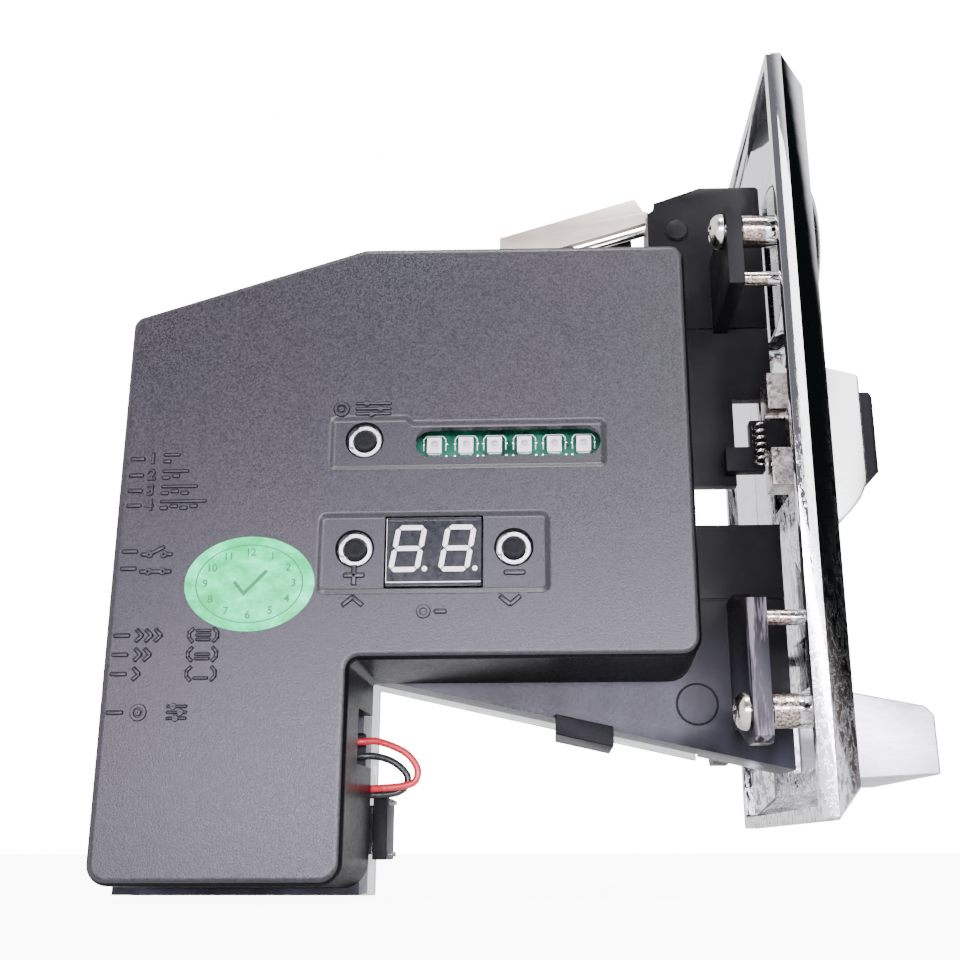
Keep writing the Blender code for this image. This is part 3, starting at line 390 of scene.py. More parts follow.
LOOKS = {
    "chrome": panel_chrome(),
    "satin_chrome": surface("satin_chrome", (0.72, 0.72, 0.74), (0.90, 0.90, 0.92), (0.16, 0.34), 1.0,
                            grain=0.5, bump=0.004, blotch=0.08, stretch=(1, 1, 3)),
    "cup_grey": surface("cup_grey", (0.42, 0.41, 0.45), (0.66, 0.65, 0.69), (0.26, 0.44), 0.9,
                        grain=0.35, bump=0.01, blotch=0.06, stretch=(1, 1, 4), contrast=0.8),
    "nickel": surface("nickel", (0.62, 0.58, 0.53), (0.92, 0.89, 0.84), (0.12, 0.26), 1.0, grain=0.9,
                      bump=0.006),
    "cast_nickel": surface("cast_nickel", (0.20, 0.15, 0.13), (0.90, 0.84, 0.80), (0.18, 0.4), 1.0,
                           grain=1.3, bump=0.03, blotch=0.35, contrast=0.9),
    "lever_nickel": surface("lever_nickel", (0.50, 0.42, 0.34), (0.66, 0.57, 0.48), (0.30, 0.42), 0.55,
                            grain=0.5, bump=0.004, stretch=(0.2, 1, 1)),
    "cover_face": spark_plastic(),
    # cover_wall is the cover's plastic made darker and less glossy than its face: painted shade on the
    # walls.
    "cover_wall": surface("cover_wall", (0.002, 0.002, 0.002), (0.005, 0.005, 0.006), (0.26, 0.4),
                          grain=1.4, bump=0.006, specular=0.07),
    # mark_black is painted shade: round the raised signs and in the groove round the ejector mark.
    "mark_black": surface("mark_black", (0.002, 0.002, 0.003), (0.006, 0.006, 0.007), (0.4, 0.6),
                          grain=3.0, specular=0.1),
    "body_black": body_plastic(),
    "button_black": surface("button_black", (0.006, 0.006, 0.007), (0.016, 0.016, 0.018), (0.3, 0.45),
                            grain=3.0, bump=0.006, specular=0.05),
    "clear_plastic": clear_plastic(),
    # board_green is darkened as painted shade: the cover shades the board behind its slot.
    "board_green": surface("board_green", (0.0, 0.025, 0.012), (0.005, 0.15, 0.075), (0.22, 0.4),
                           grain=0.45, bump=0.01, coat=0.3, contrast=0.8),
    "led_white": surface("led_white", (0.93, 0.86, 0.85), (0.98, 0.94, 0.93), (0.3, 0.45), grain=2.0),
    "display_grey": surface("display_grey", (0.012, 0.013, 0.015), (0.035, 0.037, 0.042), (0.10, 0.25),
                            grain=1.4, bump=0.003, coat=0.5),
    "segment_white": surface("segment_white", (0.66, 0.68, 0.66), (0.92, 0.93, 0.90), (0.3, 0.45),
                             grain=0.8),
    "switch_metal": surface("switch_metal", (0.82, 0.82, 0.82), (0.97, 0.97, 0.97), (0.30, 0.45), 0.5,
                            grain=1.2),
    "connector_nylon": surface("connector_nylon", (0.74, 0.70, 0.60), (0.86, 0.83, 0.75), (0.4, 0.55),
                               grain=2.0),
    "coil_brown": surface("coil_brown", (0.16, 0.05, 0.02), (0.42, 0.17, 0.07), (0.22, 0.4), grain=2.4,
                          bump=0.05, stretch=(1, 6, 1)),
    "coil_tape": surface("coil_tape", (0.58, 0.40, 0.03), (0.80, 0.62, 0.10), (0.25, 0.4), grain=0.7,
                         coat=0.3),
    "zinc_steel": surface("zinc_steel", (0.46, 0.47, 0.47), (0.72, 0.72, 0.68), (0.26, 0.42), 1.0,
                          grain=0.7, contrast=0.7),
    "ir_lens": surface("ir_lens", (0.02, 0.012, 0.03), (0.05, 0.03, 0.07), (0.06, 0.12), grain=0.6,
                       bump=0.0),
    "red_pvc": surface("red_pvc", (0.55, 0.012, 0.025), (0.78, 0.04, 0.06), (0.22, 0.38), grain=1.2),
    "black_pvc": surface("black_pvc", (0.010, 0.014, 0.012), (0.035, 0.045, 0.04), (0.2, 0.35),
                         grain=1.2),
    "solder": surface("solder", (0.62, 0.62, 0.63), (0.88, 0.88, 0.88), (0.15, 0.35), 1.0, grain=2.4,
                      bump=0.02),
    "silk_white": surface("silk_white", (0.70, 0.72, 0.70), (0.88, 0.88, 0.86), (0.5, 0.7), grain=4.0),
    "label_film": sticker_film(),
    "label_ink": surface("label_ink", (0.0, 0.13, 0.04), (0.0, 0.20, 0.06), (0.35, 0.5), grain=2.0,
                         bump=0.0),
    "lens_grey": surface("lens_grey", (0.30, 0.32, 0.40), (0.52, 0.50, 0.55), (0.1, 0.2), grain=2.0,
                         coat=0.5),
}


# ---------------------------------------------------------------- mesh helpers
def link_object(name, mesh, looks, angle=35):
    """An object in the scene; edges sharper than the angle stay sharp, and 0 leaves it flat."""
    for look in looks:
        mesh.materials.append(LOOKS[look])
    if angle:
        mesh.shade_smooth()
        mesh.set_sharp_from_angle(angle=radians(angle))
    made = bpy.data.objects.new(name, mesh)
    bpy.context.scene.collection.objects.link(made)
    return made


def build_mesh(name, points, faces, looks, angle=35):
    """An object from points in millimetres."""
    mesh = bpy.data.meshes.new(name)
    mesh.from_pydata([(x * MM, y * MM, (z + RIM_MID) * MM) for x, y, z in points], [], faces)
    work = bmesh.new()
    work.from_mesh(mesh)
    bmesh.ops.recalc_face_normals(work, faces=work.faces)
    work.to_mesh(mesh)
    work.free()
    return link_object(name, mesh, looks, angle)


def loft(name, rings, looks=("body_black",), angle=35):
    """A closed solid through rings of equal length, capped at both ends."""
    count = len(rings[0])
    points = [p for ring in rings for p in ring]
    faces = [list(range(count))[::-1], [(len(rings) - 1) * count + i for i in range(count)]]
    for r in range(len(rings) - 1):
        for i in range(count):
            j = (i + 1) % count
            faces.append([r * count + i, r * count + j, (r + 1) * count + j, (r + 1) * count + i])
    return build_mesh(name, points, faces, looks, angle)


def box(name, x, y, z, looks=("body_black",)):
    """A block from its (low, high) extents."""
    ring = [(x[0], y[0]), (x[1], y[0]), (x[1], y[1]), (x[0], y[1])]
    return loft(name, [[(a, b, z[0]) for a, b in ring], [(a, b, z[1]) for a, b in ring]], looks)


def plate_y(name, outline, y, looks=("body_black",), chamfer=0.0):
    """An (x, z) outline extruded along Y, its near edge broken by a chamfer."""
    rings = [[(a, y[1], b) for a, b in outline]]
    if chamfer:
        rings.append([(a, y[0] + chamfer, b) for a, b in outline])
        rings.append([(a, y[0] + chamfer * 0.3, b) for a, b in offset_outline(outline, chamfer * 0.3)])
        outline = offset_outline(outline, chamfer)
    rings.append([(a, y[0], b) for a, b in outline])
    return loft(name, rings, looks)


def polar(axis, centre, along, radius, angle):
    """A point so far along X, Y or Z, at a radius and an angle round that axis."""
    u, v = radius * cos(angle), radius * sin(angle)
    spot = {"x": (along, u, v), "y": (v, along, u), "z": (u, v, along)}[axis]
    return tuple(c + s for c, s in zip(centre, spot))


def turned(name, axis, centre, profile, sides=64, looks=("nickel",)):
    """A solid of revolution from (place along the axis, radius) pairs."""
    rings = [[polar(axis, centre, along, radius, 2 * pi * i / sides) for i in range(sides)]
             for along, radius in profile]
    return loft(name, rings, looks)


def oval(x, y, z, wide, high, sides):
    """The points of an upright ellipse."""
    angles = [2 * pi * i / sides for i in range(sides)]
    return [(x + wide * cos(a), y, z + high * sin(a)) for a in angles]


def ring_faces(rows, sides):
    """The faces of a ring whose section has so many corners."""
    faces = []
    for r in range(rows):
        for i in range(sides):
            j = (i + 1) % sides
            above = (r + 1) % rows * sides
            faces.append([r * sides + i, r * sides + j, above + j, above + i])
    return faces


def offset_outline(corners, inset):
    """Moves each side of a clockwise (x, z) outline inwards."""
    moved = []
    count = len(corners)
    for i, here in enumerate(corners):
        before, after = Vector(corners[i - 1]), Vector(corners[(i + 1) % count])
        here = Vector(here)
        d1, d2 = (here - before).normalized(), (after - here).normalized()
        n1, n2 = Vector((d1.y, -d1.x)), Vector((d2.y, -d2.x))
        moved.append(tuple(here + (n1 + n2) * inset / (1 + n1.dot(n2))))
    return moved


def round_outline(corners, radii, steps=8):
    """Replaces each corner by an arc of its own radius."""
    out = []
    count = len(corners)
    for i, corner in enumerate(corners):
        here = Vector(corner)
        d1 = (here - Vector(corners[i - 1])).normalized()
        d2 = (Vector(corners[(i + 1) % count]) - here).normalized()
        turn = d1.angle_signed(d2)
        reach = abs(radii[i] * tan(turn / 2))
        start = here - d1 * reach
        side = Vector((d1.y, -d1.x)) if turn > 0 else Vector((-d1.y, d1.x))
        middle = start + side * radii[i]
        for s in range(steps + 1):
            out.append(tuple(middle + Matrix.Rotation(-turn * s / steps, 2) @ (start - middle)))
    return out


def rounded(corners, radius, steps=6):
    """The same arc at every corner."""
    return round_outline(corners, [radius] * len(corners), steps)


def rect(x0, x1, z0, z1):
    """The clockwise corners of an upright rectangle."""
    return [(x0, z1), (x1, z1), (x1, z0), (x0, z0)]


def apply_modifiers(target):
    """Turns an object's modified shape into its mesh."""
    bpy.context.view_layer.update()
    shape = target.evaluated_get(bpy.context.evaluated_depsgraph_get())
    result = bpy.data.meshes.new_from_object(shape)
    target.modifiers.clear()
    target.data = result
    return target


def cut(target, *tools):
    """Takes solids away, one after another, and deletes them."""
    for tool in tools:
        step = target.modifiers.new("cut", "BOOLEAN")
        step.operation, step.solver, step.object = "DIFFERENCE", "EXACT", tool
        apply_modifiers(target)
        bpy.data.objects.remove(tool)
    return target


def merge(name, pieces):
    """One object from several, with their materials kept."""
    made = pieces[0]
    made.name = name
    work = bmesh.new()
    looks = []
    for piece in pieces:
        at = len(work.faces)
        part = piece.data.copy()
        part.transform(piece.matrix_world)
        work.from_mesh(part)
        work.faces.ensure_lookup_table()
        for face in work.faces[at:]:
            look = part.materials[face.material_index]
            if look not in looks:
                looks.append(look)
            face.material_index = looks.index(look)
    mesh = bpy.data.meshes.new(name)
    work.to_mesh(mesh)
    work.free()
    for look in looks:
        mesh.materials.append(look)
    made.data = mesh
    made.matrix_world = Matrix.Identity(4)
    for piece in pieces[1:]:
        bpy.data.objects.remove(piece)
    return made


def soften(target, width, segments=3, angle=35):
    """Rounds the sharp edges by so many millimetres."""
    step = target.modifiers.new("edges", "BEVEL")
    step.width, step.segments = width * MM, segments
    step.limit_method, step.angle_limit = "ANGLE", radians(angle)
    step.harden_normals = True
    return target


def wire(name, points, radius, looks, sides=10, smooth=4):
    """A round wire through points, as a closed tube."""
    ends = [Vector(points[0])] + [Vector(p) for p in points] + [Vector(points[-1])]
    path = []
    for i in range(1, len(ends) - 2):
        a, b, c, d = ends[i - 1:i + 3]
        for s in range(smooth):
            t = s / smooth
            path.append(0.5 * (2 * b + (c - a) * t + (2 * a - 5 * b + 4 * c - d) * t * t
                               + (3 * b - 3 * c + d - a) * t ** 3))
    path.append(ends[-1])
    rings = []
    normal = None
    for i, spot in enumerate(path):
        way = (path[min(i + 1, len(path) - 1)] - path[max(i - 1, 0)]).normalized()
        if normal is None:
            normal = way.orthogonal().normalized()
        normal = (normal - way * normal.dot(way)).normalized()
        other = way.cross(normal)
        turns = [2 * pi * k / sides for k in range(sides)]
        rings.append([tuple(spot + normal * (radius * cos(a)) + other * (radius * sin(a)))
                      for a in turns])
    return loft(name, rings, looks, 60)


def glyphs(name, text, size, spot, rise, look, grow=0.03):
    """Raised signs on a face that looks along -Y. Their foot is sunk a little."""
    curve = bpy.data.curves.new(name, "FONT")
    curve.body = text
    curve.size = size * MM
    curve.align_x, curve.align_y = "CENTER", "CENTER"
    curve.extrude = rise * MM
    curve.offset = grow * MM
    made = bpy.data.objects.new(name, curve)
    bpy.context.scene.collection.objects.link(made)
    x, y, z = spot
    made.matrix_world = (Matrix.Translation((x * MM, y * MM, (z + RIM_MID) * MM))
                         @ Matrix.Rotation(radians(90), 4, "X"))
    bpy.context.view_layer.update()
    shape = made.evaluated_get(bpy.context.evaluated_depsgraph_get())
    mesh = bpy.data.meshes.new_from_object(shape)
    mesh.transform(made.matrix_world)
    bpy.data.objects.remove(made)
    mesh.materials.clear()
    return link_object(name, mesh, [look])


def place(piece, body, slot, *nodes):
    """Fixes a piece to its body and hides the nodes it stands for; the slot is not used."""
    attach(piece, body)
    if nodes:
        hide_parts(*nodes)
    return piece


# ---------------------------------------------------------------- electronics cover
def cover_ring(inset, y):
    """The cover's outline at one depth, so far inside the outer one."""
    radii = [max(r - inset, 0.3) for r in COVER_RADII]
    radii[INNER_CORNER] = COVER_RADII[INNER_CORNER] + inset
    return [(a, y, b) for a, b in round_outline(offset_outline(COVER_OUTLINE, inset), radii)]


def sunk(name, outline, depth, soft):
    """A cutter for a shallow recess whose rim slopes in a smooth wave."""
    rings = [(soft, -1.0)]
    steps = 6
    for step in range(steps + 1):
        rings.append((soft * (1 - 2 * step / steps), depth * (1 - cos(pi * step / steps)) / 2 - 0.002))
    return loft(name, [[(a, COVER_FACE + y, b) for a, b in offset_outline(outline, -grow)]
                       for grow, y in rings])


def electronics_cover():
    """Shell with rounded edges, shallow recesses, stepped key holes and windows."""
    rings = []
    steps = 7
    for step in range(steps + 1):
        a = radians(90) * step / steps
        rings.append(cover_ring(COVER_EDGE * (1 - sin(a)), COVER_FACE + COVER_EDGE * (1 - cos(a))))
    rings.append(cover_ring(-COVER_DRAFT, COVER_BACK))
    rings.append(cover_ring(COVER_WALL - COVER_DRAFT, COVER_BACK))
    rings.append(cover_ring(COVER_WALL, COVER_FACE + COVER_WALL))
    cover = loft("cover_shell", rings, ["cover_face", "cover_wall"])
    upper = rounded([(-72.6, 0.2), (-60.6, 0.2), (-59.6, -0.8), (-28.8, -0.8), (-28.8, -8.2),
                     (-72.6, -8.2)], 0.7)
    lower = rounded(rect(-73.9, -38.0, -28.6, -16.2), 1.0)
    slot = rounded(rect(-59.1, -29.3, -6.45, -1.45), 2.45, 12)
    window = rounded(rect(-63.7, -48.1, -28.1, -16.4), 0.25, 3)
    through = (COVER_FACE - 2, COVER_FACE + COVER_WALL + 1)
    cut(cover, sunk("upper_recess", upper, RECESS, 0.6), sunk("lower_recess", lower, RECESS, 0.6),
        plate_y("light_slot", slot, through), plate_y("display_window", window, through))
    floor = COVER_FACE + RECESS
    for x, z in KEYS.values():
        cut(cover, turned("key_hole", "y", (x, 0, z), [
            (COVER_FACE - 1, KEY_HOLE_R + 0.3), (floor, KEY_HOLE_R + 0.3), (floor + 0.3, KEY_HOLE_R),
            (through[1], KEY_HOLE_R)]))
    rear = (-110.0, -102.0)
    cut(cover,
        box("lead_window", (-72.0, -66.0), (-17.5, -5.0), (-54.3, -45.6)),
        box("connector_window", rear, (-21.3, -15.4), (-15.8, -4.8)),
        box("contact_window", rear, (-21.3, -16.6), (-26.6, -20.0)),
        box("speed_window", rear, (-21.3, -16.6), (-42.8, -34.2)),
        box("rear_set_window", rear, (-21.3, -14.9), (-50.3, -43.9)))
    face_tilt = -0.78                   # steeper faces than this are walls
    # Faces that turn away from the light get the darker cover_wall copy of the plastic, a painted
    # shade.
    for face in cover.data.polygons:
        face.material_index = 0 if face.normal.y < face_tilt else 1
    cover.data.shade_smooth()
    cover.data.set_sharp_from_angle(angle=radians(40))
    flat = cover.modifiers.new("normals", "WEIGHTED_NORMAL")
    flat.keep_sharp, flat.weight = True, 80
    return place(cover, "root", "cover_black", "electronics_cover")


def sign(outline, level=0.0, rise=0.22):
    """A raised sign on a slightly larger dark plate that paints the shade round its edges, on the
    cover's face or so far below it.
    """
    foot = COVER_FACE + level
    return [plate_y("foot", offset_outline(outline, -0.16), (foot - 0.03, foot + 0.1), ["mark_black"]),
            plate_y("sign", outline, (foot - rise, foot + 0.1), ["cover_face"], 0.1)]


def bar(x0, x1, z, thick=0.42, level=0.0):
    """A raised level line with round ends."""
    return sign(rounded(rect(x0, x1, z - thick / 2, z + thick / 2), thick * 0.45, 3), level)


def stroke(x0, z0, x1, z1, thick=0.38, level=0.0):
    """A raised slanting line."""
    along = Vector((x1 - x0, z1 - z0)).normalized()
    side = Vector((-along.y, along.x)) * thick / 2
    a, b = Vector((x0, z0)), Vector((x1, z1))
    return sign([tuple(a + side), tuple(b + side), tuple(b - side), tuple(a - side)], level)


def hoop(x, z, outer, inner, rise, look):
    """A flat ring standing on the cover's face."""
    sides = 28
    rings = [(outer, 0.1), (outer, -rise), (inner, -rise), (inner, 0.1)]
    points = [p for r, y in rings for p in oval(x, COVER_FACE + y, z, r, r, sides)]
    return build_mesh("hoop", points, ring_faces(len(rings), sides), [look])


def ring_mark(x, z, outer, inner):
    """A raised ring on a slightly wider dark ring that paints the shade round its edges."""
    return [hoop(x, z, outer + 0.14, max(inner - 0.14, 0.05), 0.03, "mark_black"),
            hoop(x, z, outer, inner, 0.2, "cover_face")]


def target_mark(x, z):
    """A ring round a dot."""
    return ring_mark(x, z, 1.2, 0.8) + ring_mark(x, z, 0.4, 0.1)


def chevrons(x, z, count):
    """So many arrowheads that point to +X."""
    out = []
    for i in range(count):
        left = x + i * 1.5
        out += stroke(left, z + 0.9, left + 0.9, z) + stroke(left + 0.9, z, left, z - 0.9)
    return out


def brackets(x0, x1, z):
    """A pair of round brackets."""
    out = []
    for x, way in ((x0, 1), (x1, -1)):
        spots = [(x + way * 0.6, z + 1.05), (x, z + 0.4), (x, z - 0.4), (x + way * 0.6, z - 1.05)]
        for a, b in zip(spots, spots[1:]):
            out += stroke(*a, *b, 0.3)
    return out


def slider_mark(x0, x1, z):
    """Three lines with a knob on each, the usual sign for settings."""
    out = []
    for row, share in ((0.9, 0.3), (0.0, 0.7), (-0.9, 0.45)):
        out += bar(x0, x1, z + row, 0.26) + ring_mark(x0 + (x1 - x0) * share, z + row, 0.42, 0.12)
    return out


def cover_marks():
    """Generic raised signs: dashes, figures, contact and level symbols."""
    marks = []
    left = -105.2
    for number, z in enumerate((-6.3, -9.1, -11.7, -14.2), 1):
        marks += bar(left, left + 2.2, z)
        spot = (-101.6, COVER_FACE, z)
        # Under each figure a grown dark copy paints the shade round its edges.
        marks.append(glyphs("figure_foot", str(number), 2.5, spot, 0.03, "mark_black", 0.16))
        marks.append(glyphs("figure", str(number), 2.5, spot, 0.2, "cover_face"))
        for i in range(number):
            marks += bar(-99.8 + 1.6 * i, -98.7 + 1.6 * i, z - 0.45 + 0.3 * (i % 2))
        marks += bar(-99.8, -98.9 + 1.6 * number, z + 0.65, 0.3)
    for z, lift in ((-21.8, 1.2), (-24.6, 0.0)):
        foot = z - 0.5
        marks += bar(left - 0.1, left + 2.3, z) + bar(-102.2, -101.2, foot) + bar(-98.3, -97.3, foot)
        marks += stroke(-100.9, foot, -98.7, foot + lift)
        marks += ring_mark(-100.9, foot, 0.5, 0.22) + ring_mark(-98.6, foot, 0.5, 0.22)
    for count, z in ((3, -35.3), (2, -38.3), (1, -41.3)):
        marks += bar(left - 0.2, left + 2.2, z) + chevrons(-101.9, z, count) + brackets(-93.6, -89.2, z)
        for i in range(count):
            marks += bar(-92.5, -90.3, z - 0.7 + 0.7 * i, 0.28)
    setting_z, key_z = -47.2, 1.8
    marks += bar(left - 0.3, left + 2.2, setting_z)
    marks += target_mark(-100.6, setting_z) + slider_mark(-96.2, -93.2, setting_z)
    marks += target_mark(-71.2, key_z) + slider_mark(-68.8, -63.2, key_z)
    for x, z in ((-68.4, -25.9), (-43.2, -25.7)):
        marks += bar(x - 1.6, x + 1.6, z, 0.6, RECESS)
    marks += stroke(-68.4, -24.4, -68.4, -27.4, 0.6, RECESS)
    for x, z, way in ((-68.4, -30.2, 1), (-43.9, -30.2, -1)):
        marks += stroke(x - 1.5, z - 0.6 * way, x, z + 0.7 * way, 0.5)
        marks += stroke(x, z + 0.7 * way, x + 1.5, z - 0.6 * way, 0.5)
    marks += ring_mark(-57.3, -31.9, 1.0, 0.62) + bar(-55.6, -53.8, -31.9, 0.5)
    return place(merge("cover_marks", marks), "root", "cover_black")


def label():
    """Oval inspection sticker with a ring of month figures and a tick."""
    x, z, wide, high = -84.7, -27.2, 10.25, 7.6
    y = COVER_FACE - 0.09
    sides = 96
    levels = ((0.0, COVER_FACE + 0.02), (0.0, COVER_FACE - 0.05), (-0.1, y))
    film = loft("label_film", [oval(x, depth, z, wide + grow, high + grow, sides)
                               for grow, depth in levels], ["label_film"])
    points = []
    for share in (0.83, 0.81):
        points += oval(x, y - 0.015, z, wide * share, high * share, sides)
    faces = [[i, (i + 1) % sides, sides + (i + 1) % sides, sides + i] for i in range(sides)]
    parts = [build_mesh("label_ring", points, faces, ["label_ink"], 0)]
    for number in range(1, 13):
        a = radians(90 - 30 * number)
        spot = (x + wide * 0.68 * cos(a), y, z + high * 0.66 * sin(a))
        parts.append(glyphs("month", str(number), 1.7, spot, 0.02, "label_ink"))
    tick = [(-2.6, 0.1), (-2.2, 0.5), (-0.8, -1.2), (2.5, 2.3), (2.9, 1.9), (-0.8, -2.0)]
    tick = [(x + a, z + b) for a, b in tick]
    parts.append(plate_y("tick", tick, (y - 0.02, y + 0.02), ["label_ink"]))
    place(film, "root", "cover_black")
    place(merge("label_print", parts), "root", "cover_black")


# ---------------------------------------------------------------- display, lamps and keys
def segment(x, z, width, height, key):
    """The outline of one of a figure's seven bars, leaning to the right."""
    t, gap, lean = 0.8, 0.09, 0.17
    mid = height / 2
    bars = {
        "a": ((0, height), (width, height)), "g": ((0, mid), (width, mid)), "d": ((0, 0), (width, 0)),
        "f": ((0, height), (0, mid)), "b": ((width, height), (width, mid)),
        "e": ((0, mid), (0, 0)), "c": ((width, mid), (width, 0))}
    (x0, z0), (x1, z1) = bars[key]
    h = t / 2
    if z0 == z1:
        shape = [(x0 + gap, z0), (x0 + h + gap, z0 + h), (x1 - h - gap, z0 + h), (x1 - gap, z0),
                 (x1 - h - gap, z0 - h), (x0 + h + gap, z0 - h)]
    else:
        shape = [(x0, z0 - gap), (x0 + h, z0 - h - gap), (x0 + h, z1 + h + gap), (x0, z1 + gap),
                 (x0 - h, z1 + h + gap), (x0 - h, z0 - h - gap)]
    return [(x + a + lean * b, z + b) for a, b in shape]


def display():
    """Two-figure display: dark face with a frame, pale bars and points."""
    x0, x1, z0, z1 = -63.4, -48.4, -27.8, -16.7
    y = COVER_FACE + 0.25
    body = box("display_case", (x0, x1), (y, PCB_FACE - 0.15), (z0, z1), ["display_grey"])
    cut(body, plate_y("face", rounded(rect(x0 + 0.45, x1 - 0.45, z0 + 0.45, z1 - 0.45), 0.2, 2),
                      (y - 1, y + 0.12)))
    soften(body, 0.12, 2)
    parts = []
    for left in (-62.6, -54.8):
        for key in "abcdefg":
            outline = segment(left, -25.1, 4.1, 6.8, key)
            parts.append(plate_y("bar_" + key, outline, (y + 0.04, y + 0.3), ["segment_white"], 0.05))
    for x in (-57.3, -49.4):
        parts.append(turned("point", "y", (x, 0, -25.0), [
            (y + 0.3, 0.42), (y + 0.08, 0.42), (y + 0.03, 0.34)], 24, ["segment_white"]))
    parts.append(box("foot_line", (x0 + 0.1, x1 - 0.1), (y - 0.03, y + 0.1), (z0 + 0.55, z0 + 0.72),
                     ["segment_white"]))
    parts.append(box("side_line", (x0 + 0.05, x0 + 0.12), (y - 0.02, y + 0.1), (z0 + 0.55, z1 - 0.1),
                     ["segment_white"]))
    place(apply_modifiers(body), "root", "display_grey", "display_module")
    place(merge("display_bars", parts), "root", "display_grey")


def lamps():
    """Six surface-mount lamps: pale body, small lens, solder ends."""
    top = PCB_FACE - 1.1
    for number, x in enumerate(LED_X, 1):
        shape = rounded(rect(x - 1.2, x + 1.2, LED_Z - 1.35, LED_Z + 1.35), 0.12, 2)
        body = plate_y("lamp", shape, (top, PCB_FACE - 0.15), ["led_white"], 0.08)
        middle = (x, 0, LED_Z + 0.35)
        cut(body, turned("cup", "y", middle, [(top - 0.5, 0.72), (top + 0.25, 0.5)], 28))
        lens = turned("lens", "y", middle, [
            (top + 0.3, 0.5), (top + 0.16, 0.5), (top + 0.08, 0.34), (top + 0.05, 0.12)],
            24, ["lens_grey"])
        depth = (top + 0.5, PCB_FACE - 0.02)
        ends = [box("end", (x - 0.95, x + 0.95), depth, (z, z + 0.25), ["solder"])
                for z in (LED_Z - 1.5, LED_Z + 1.25)]
        place(merge("lamp_%d" % number, [body, lens] + ends), "root", "led_white", "led_%d" % number)


def arch(x, half, foot, shoulder, top, slope):
    """The open outline of an arch with cut corners round a lamp, foot to foot."""
    return [(x - half, foot), (x - half, shoulder), (x - half + slope, top),
            (x + half - slope, top), (x + half, shoulder), (x + half, foot)]


def board_print():
    """White print and solder spots round the lamps."""
    y = (PCB_FACE - 0.05, PCB_FACE + 0.05)
    foot = LED_Z - 0.6
    parts = []
    for x in LED_X:
        outer = arch(x, 1.9, foot, LED_Z + 1.4, LED_Z + 2.0, 0.5)
        inner = arch(x, 1.74, foot, LED_Z + 1.33, LED_Z + 1.84, 0.41)
        count = len(outer)
        points = [(a, y[0], b) for a, b in outer + inner]
        faces = [[i, i + 1, count + i + 1, count + i] for i in range(count - 1)]
        parts.append(build_mesh("arch", points, faces, ["silk_white"], 0))
        for side in (-1, 1):
            for dz in (-1.5, 0.6):
                parts.append(turned("spot", "y", (x + side * 1.9, 0, LED_Z + dz), [
                    (y[1], 0.24), (y[0] - 0.05, 0.2), (y[0] - 0.1, 0.08)], 12, ["solder"]))
    return place(merge("board_print", parts), "root", "board_green")


def switch_collar(name, x, z):
    """The switch's bright top plate round its plunger, with two notches in its rim."""
    sides, top, low = 72, -25.15, -24.0
    bore, notch, rim, chamfer = 2.0, 2.2, 2.64, 0.08
    section = ((False, low), (False, top + 0.1), (False, top), (True, top), (True, low))
    points = []
    for inner, y in section:
        for i in range(sides):
            turn = 360 * i / sides
            notched = 115 < turn < 160 or 200 < turn < 216
            r = bore if inner else notch if notched else rim
            if y == top and not inner:
                r -= chamfer
            points.append(polar("y", (x, 0, z), y, r, radians(90 - turn)))
    return build_mesh(name, points, ring_faces(len(section), sides), ["switch_metal"])


def keys():
    """Round plungers with a bright collar under each hole of the cover."""
    r, foot, top = 1.75, -22.8, -25.9
    for name, (x, z) in KEYS.items():
        cap = turned(name + "_cap", "y", (x, 0, z), [
            (foot, r), (top + 0.35, r), (top + 0.12, r - 0.09), (top, r - 0.3), (top, 0.9),
            (top + 0.04, 0.4)], 48, ["button_black"])
        place(cap, name + "_key", "button_black", name + "_plunger")
        place(switch_collar(name + "_collar", x, z), "root", "switch_metal")


# ---------------------------------------------------------------- front pieces
def coin_entry():
    """Domed round entry with a flared upright slot."""
    f = PANEL_FRONT
    profile = [(5.1, 14.6), (f + 0.3, 14.6), (f + 0.3, 17.2), (f + 0.75, 17.2), (f + 1.1, 17.12),
               (f + 1.3, 16.95), (f + 2.2, 16.2), (f + 2.9, 15.3), (f + 3.5, 14.1), (f + 4.0, 12.4),
               (f + 4.3, 10.8), (f + 4.5, 9.0), (f + 4.5, 4.0)]
    entry = turned("coin_entry", "x", (0, 0, ENTRY_Z), profile, 96, ["satin_chrome"])
    cut(entry,
        box("slot", (0, 30), (-2.3, 2.3), (ENTRY_Z - 14.0, ENTRY_Z + 14.0)),
        loft("flare", [
            [(f + 2.4, a, ENTRY_Z + b) for a, b in rounded(rect(-2.5, 2.5, -14.1, 14.1), 0.15)],
            [(f + 4.4, a, ENTRY_Z + b) for a, b in rounded(rect(-4.4, 4.4, -15.0, 15.0), 1.2)],
            [(f + 7.4, a, ENTRY_Z + b) for a, b in rounded(rect(-7.4, 7.4, -17.0, 17.0), 2.2)]]))
    return place(entry, "root", "chrome", "coin_entry_bezel")


def ear_screws():
    """Pan-head screws with a cross recess."""
    number = 0
    for z, ear_face in ((35.1, -7.1), (-47.0, -7.4)):
        seat = ear_face - 0.3
        for y in (-22.0, 22.0):
            number += 1
            screw = turned("screw_%d" % number, "x", (0, y, z), [
                (seat - 2.2, 0.6), (seat - 2.17, 1.2), (seat - 2.0, 1.9), (seat - 1.65, 2.45),
                (seat - 1.1, 2.85), (seat - 0.5, 3.0), (seat - 0.1, 3.0), (seat, 2.9), (seat, 1.4),
                (1.4, 1.4)], 48, ["nickel"])
            for wide, tall in ((1.7, 0.34), (0.34, 1.7)):
                slot = rect(-wide, wide, -tall, tall)
                cut(screw, loft("cross", [[(seat - deep, y + a * grow, z + b * grow) for a, b in slot]
                                          for deep, grow in ((3.0, 1.25), (1.0, 0.6))]))
            place(screw, "root", "nickel", "ear_screw_%d" % number)


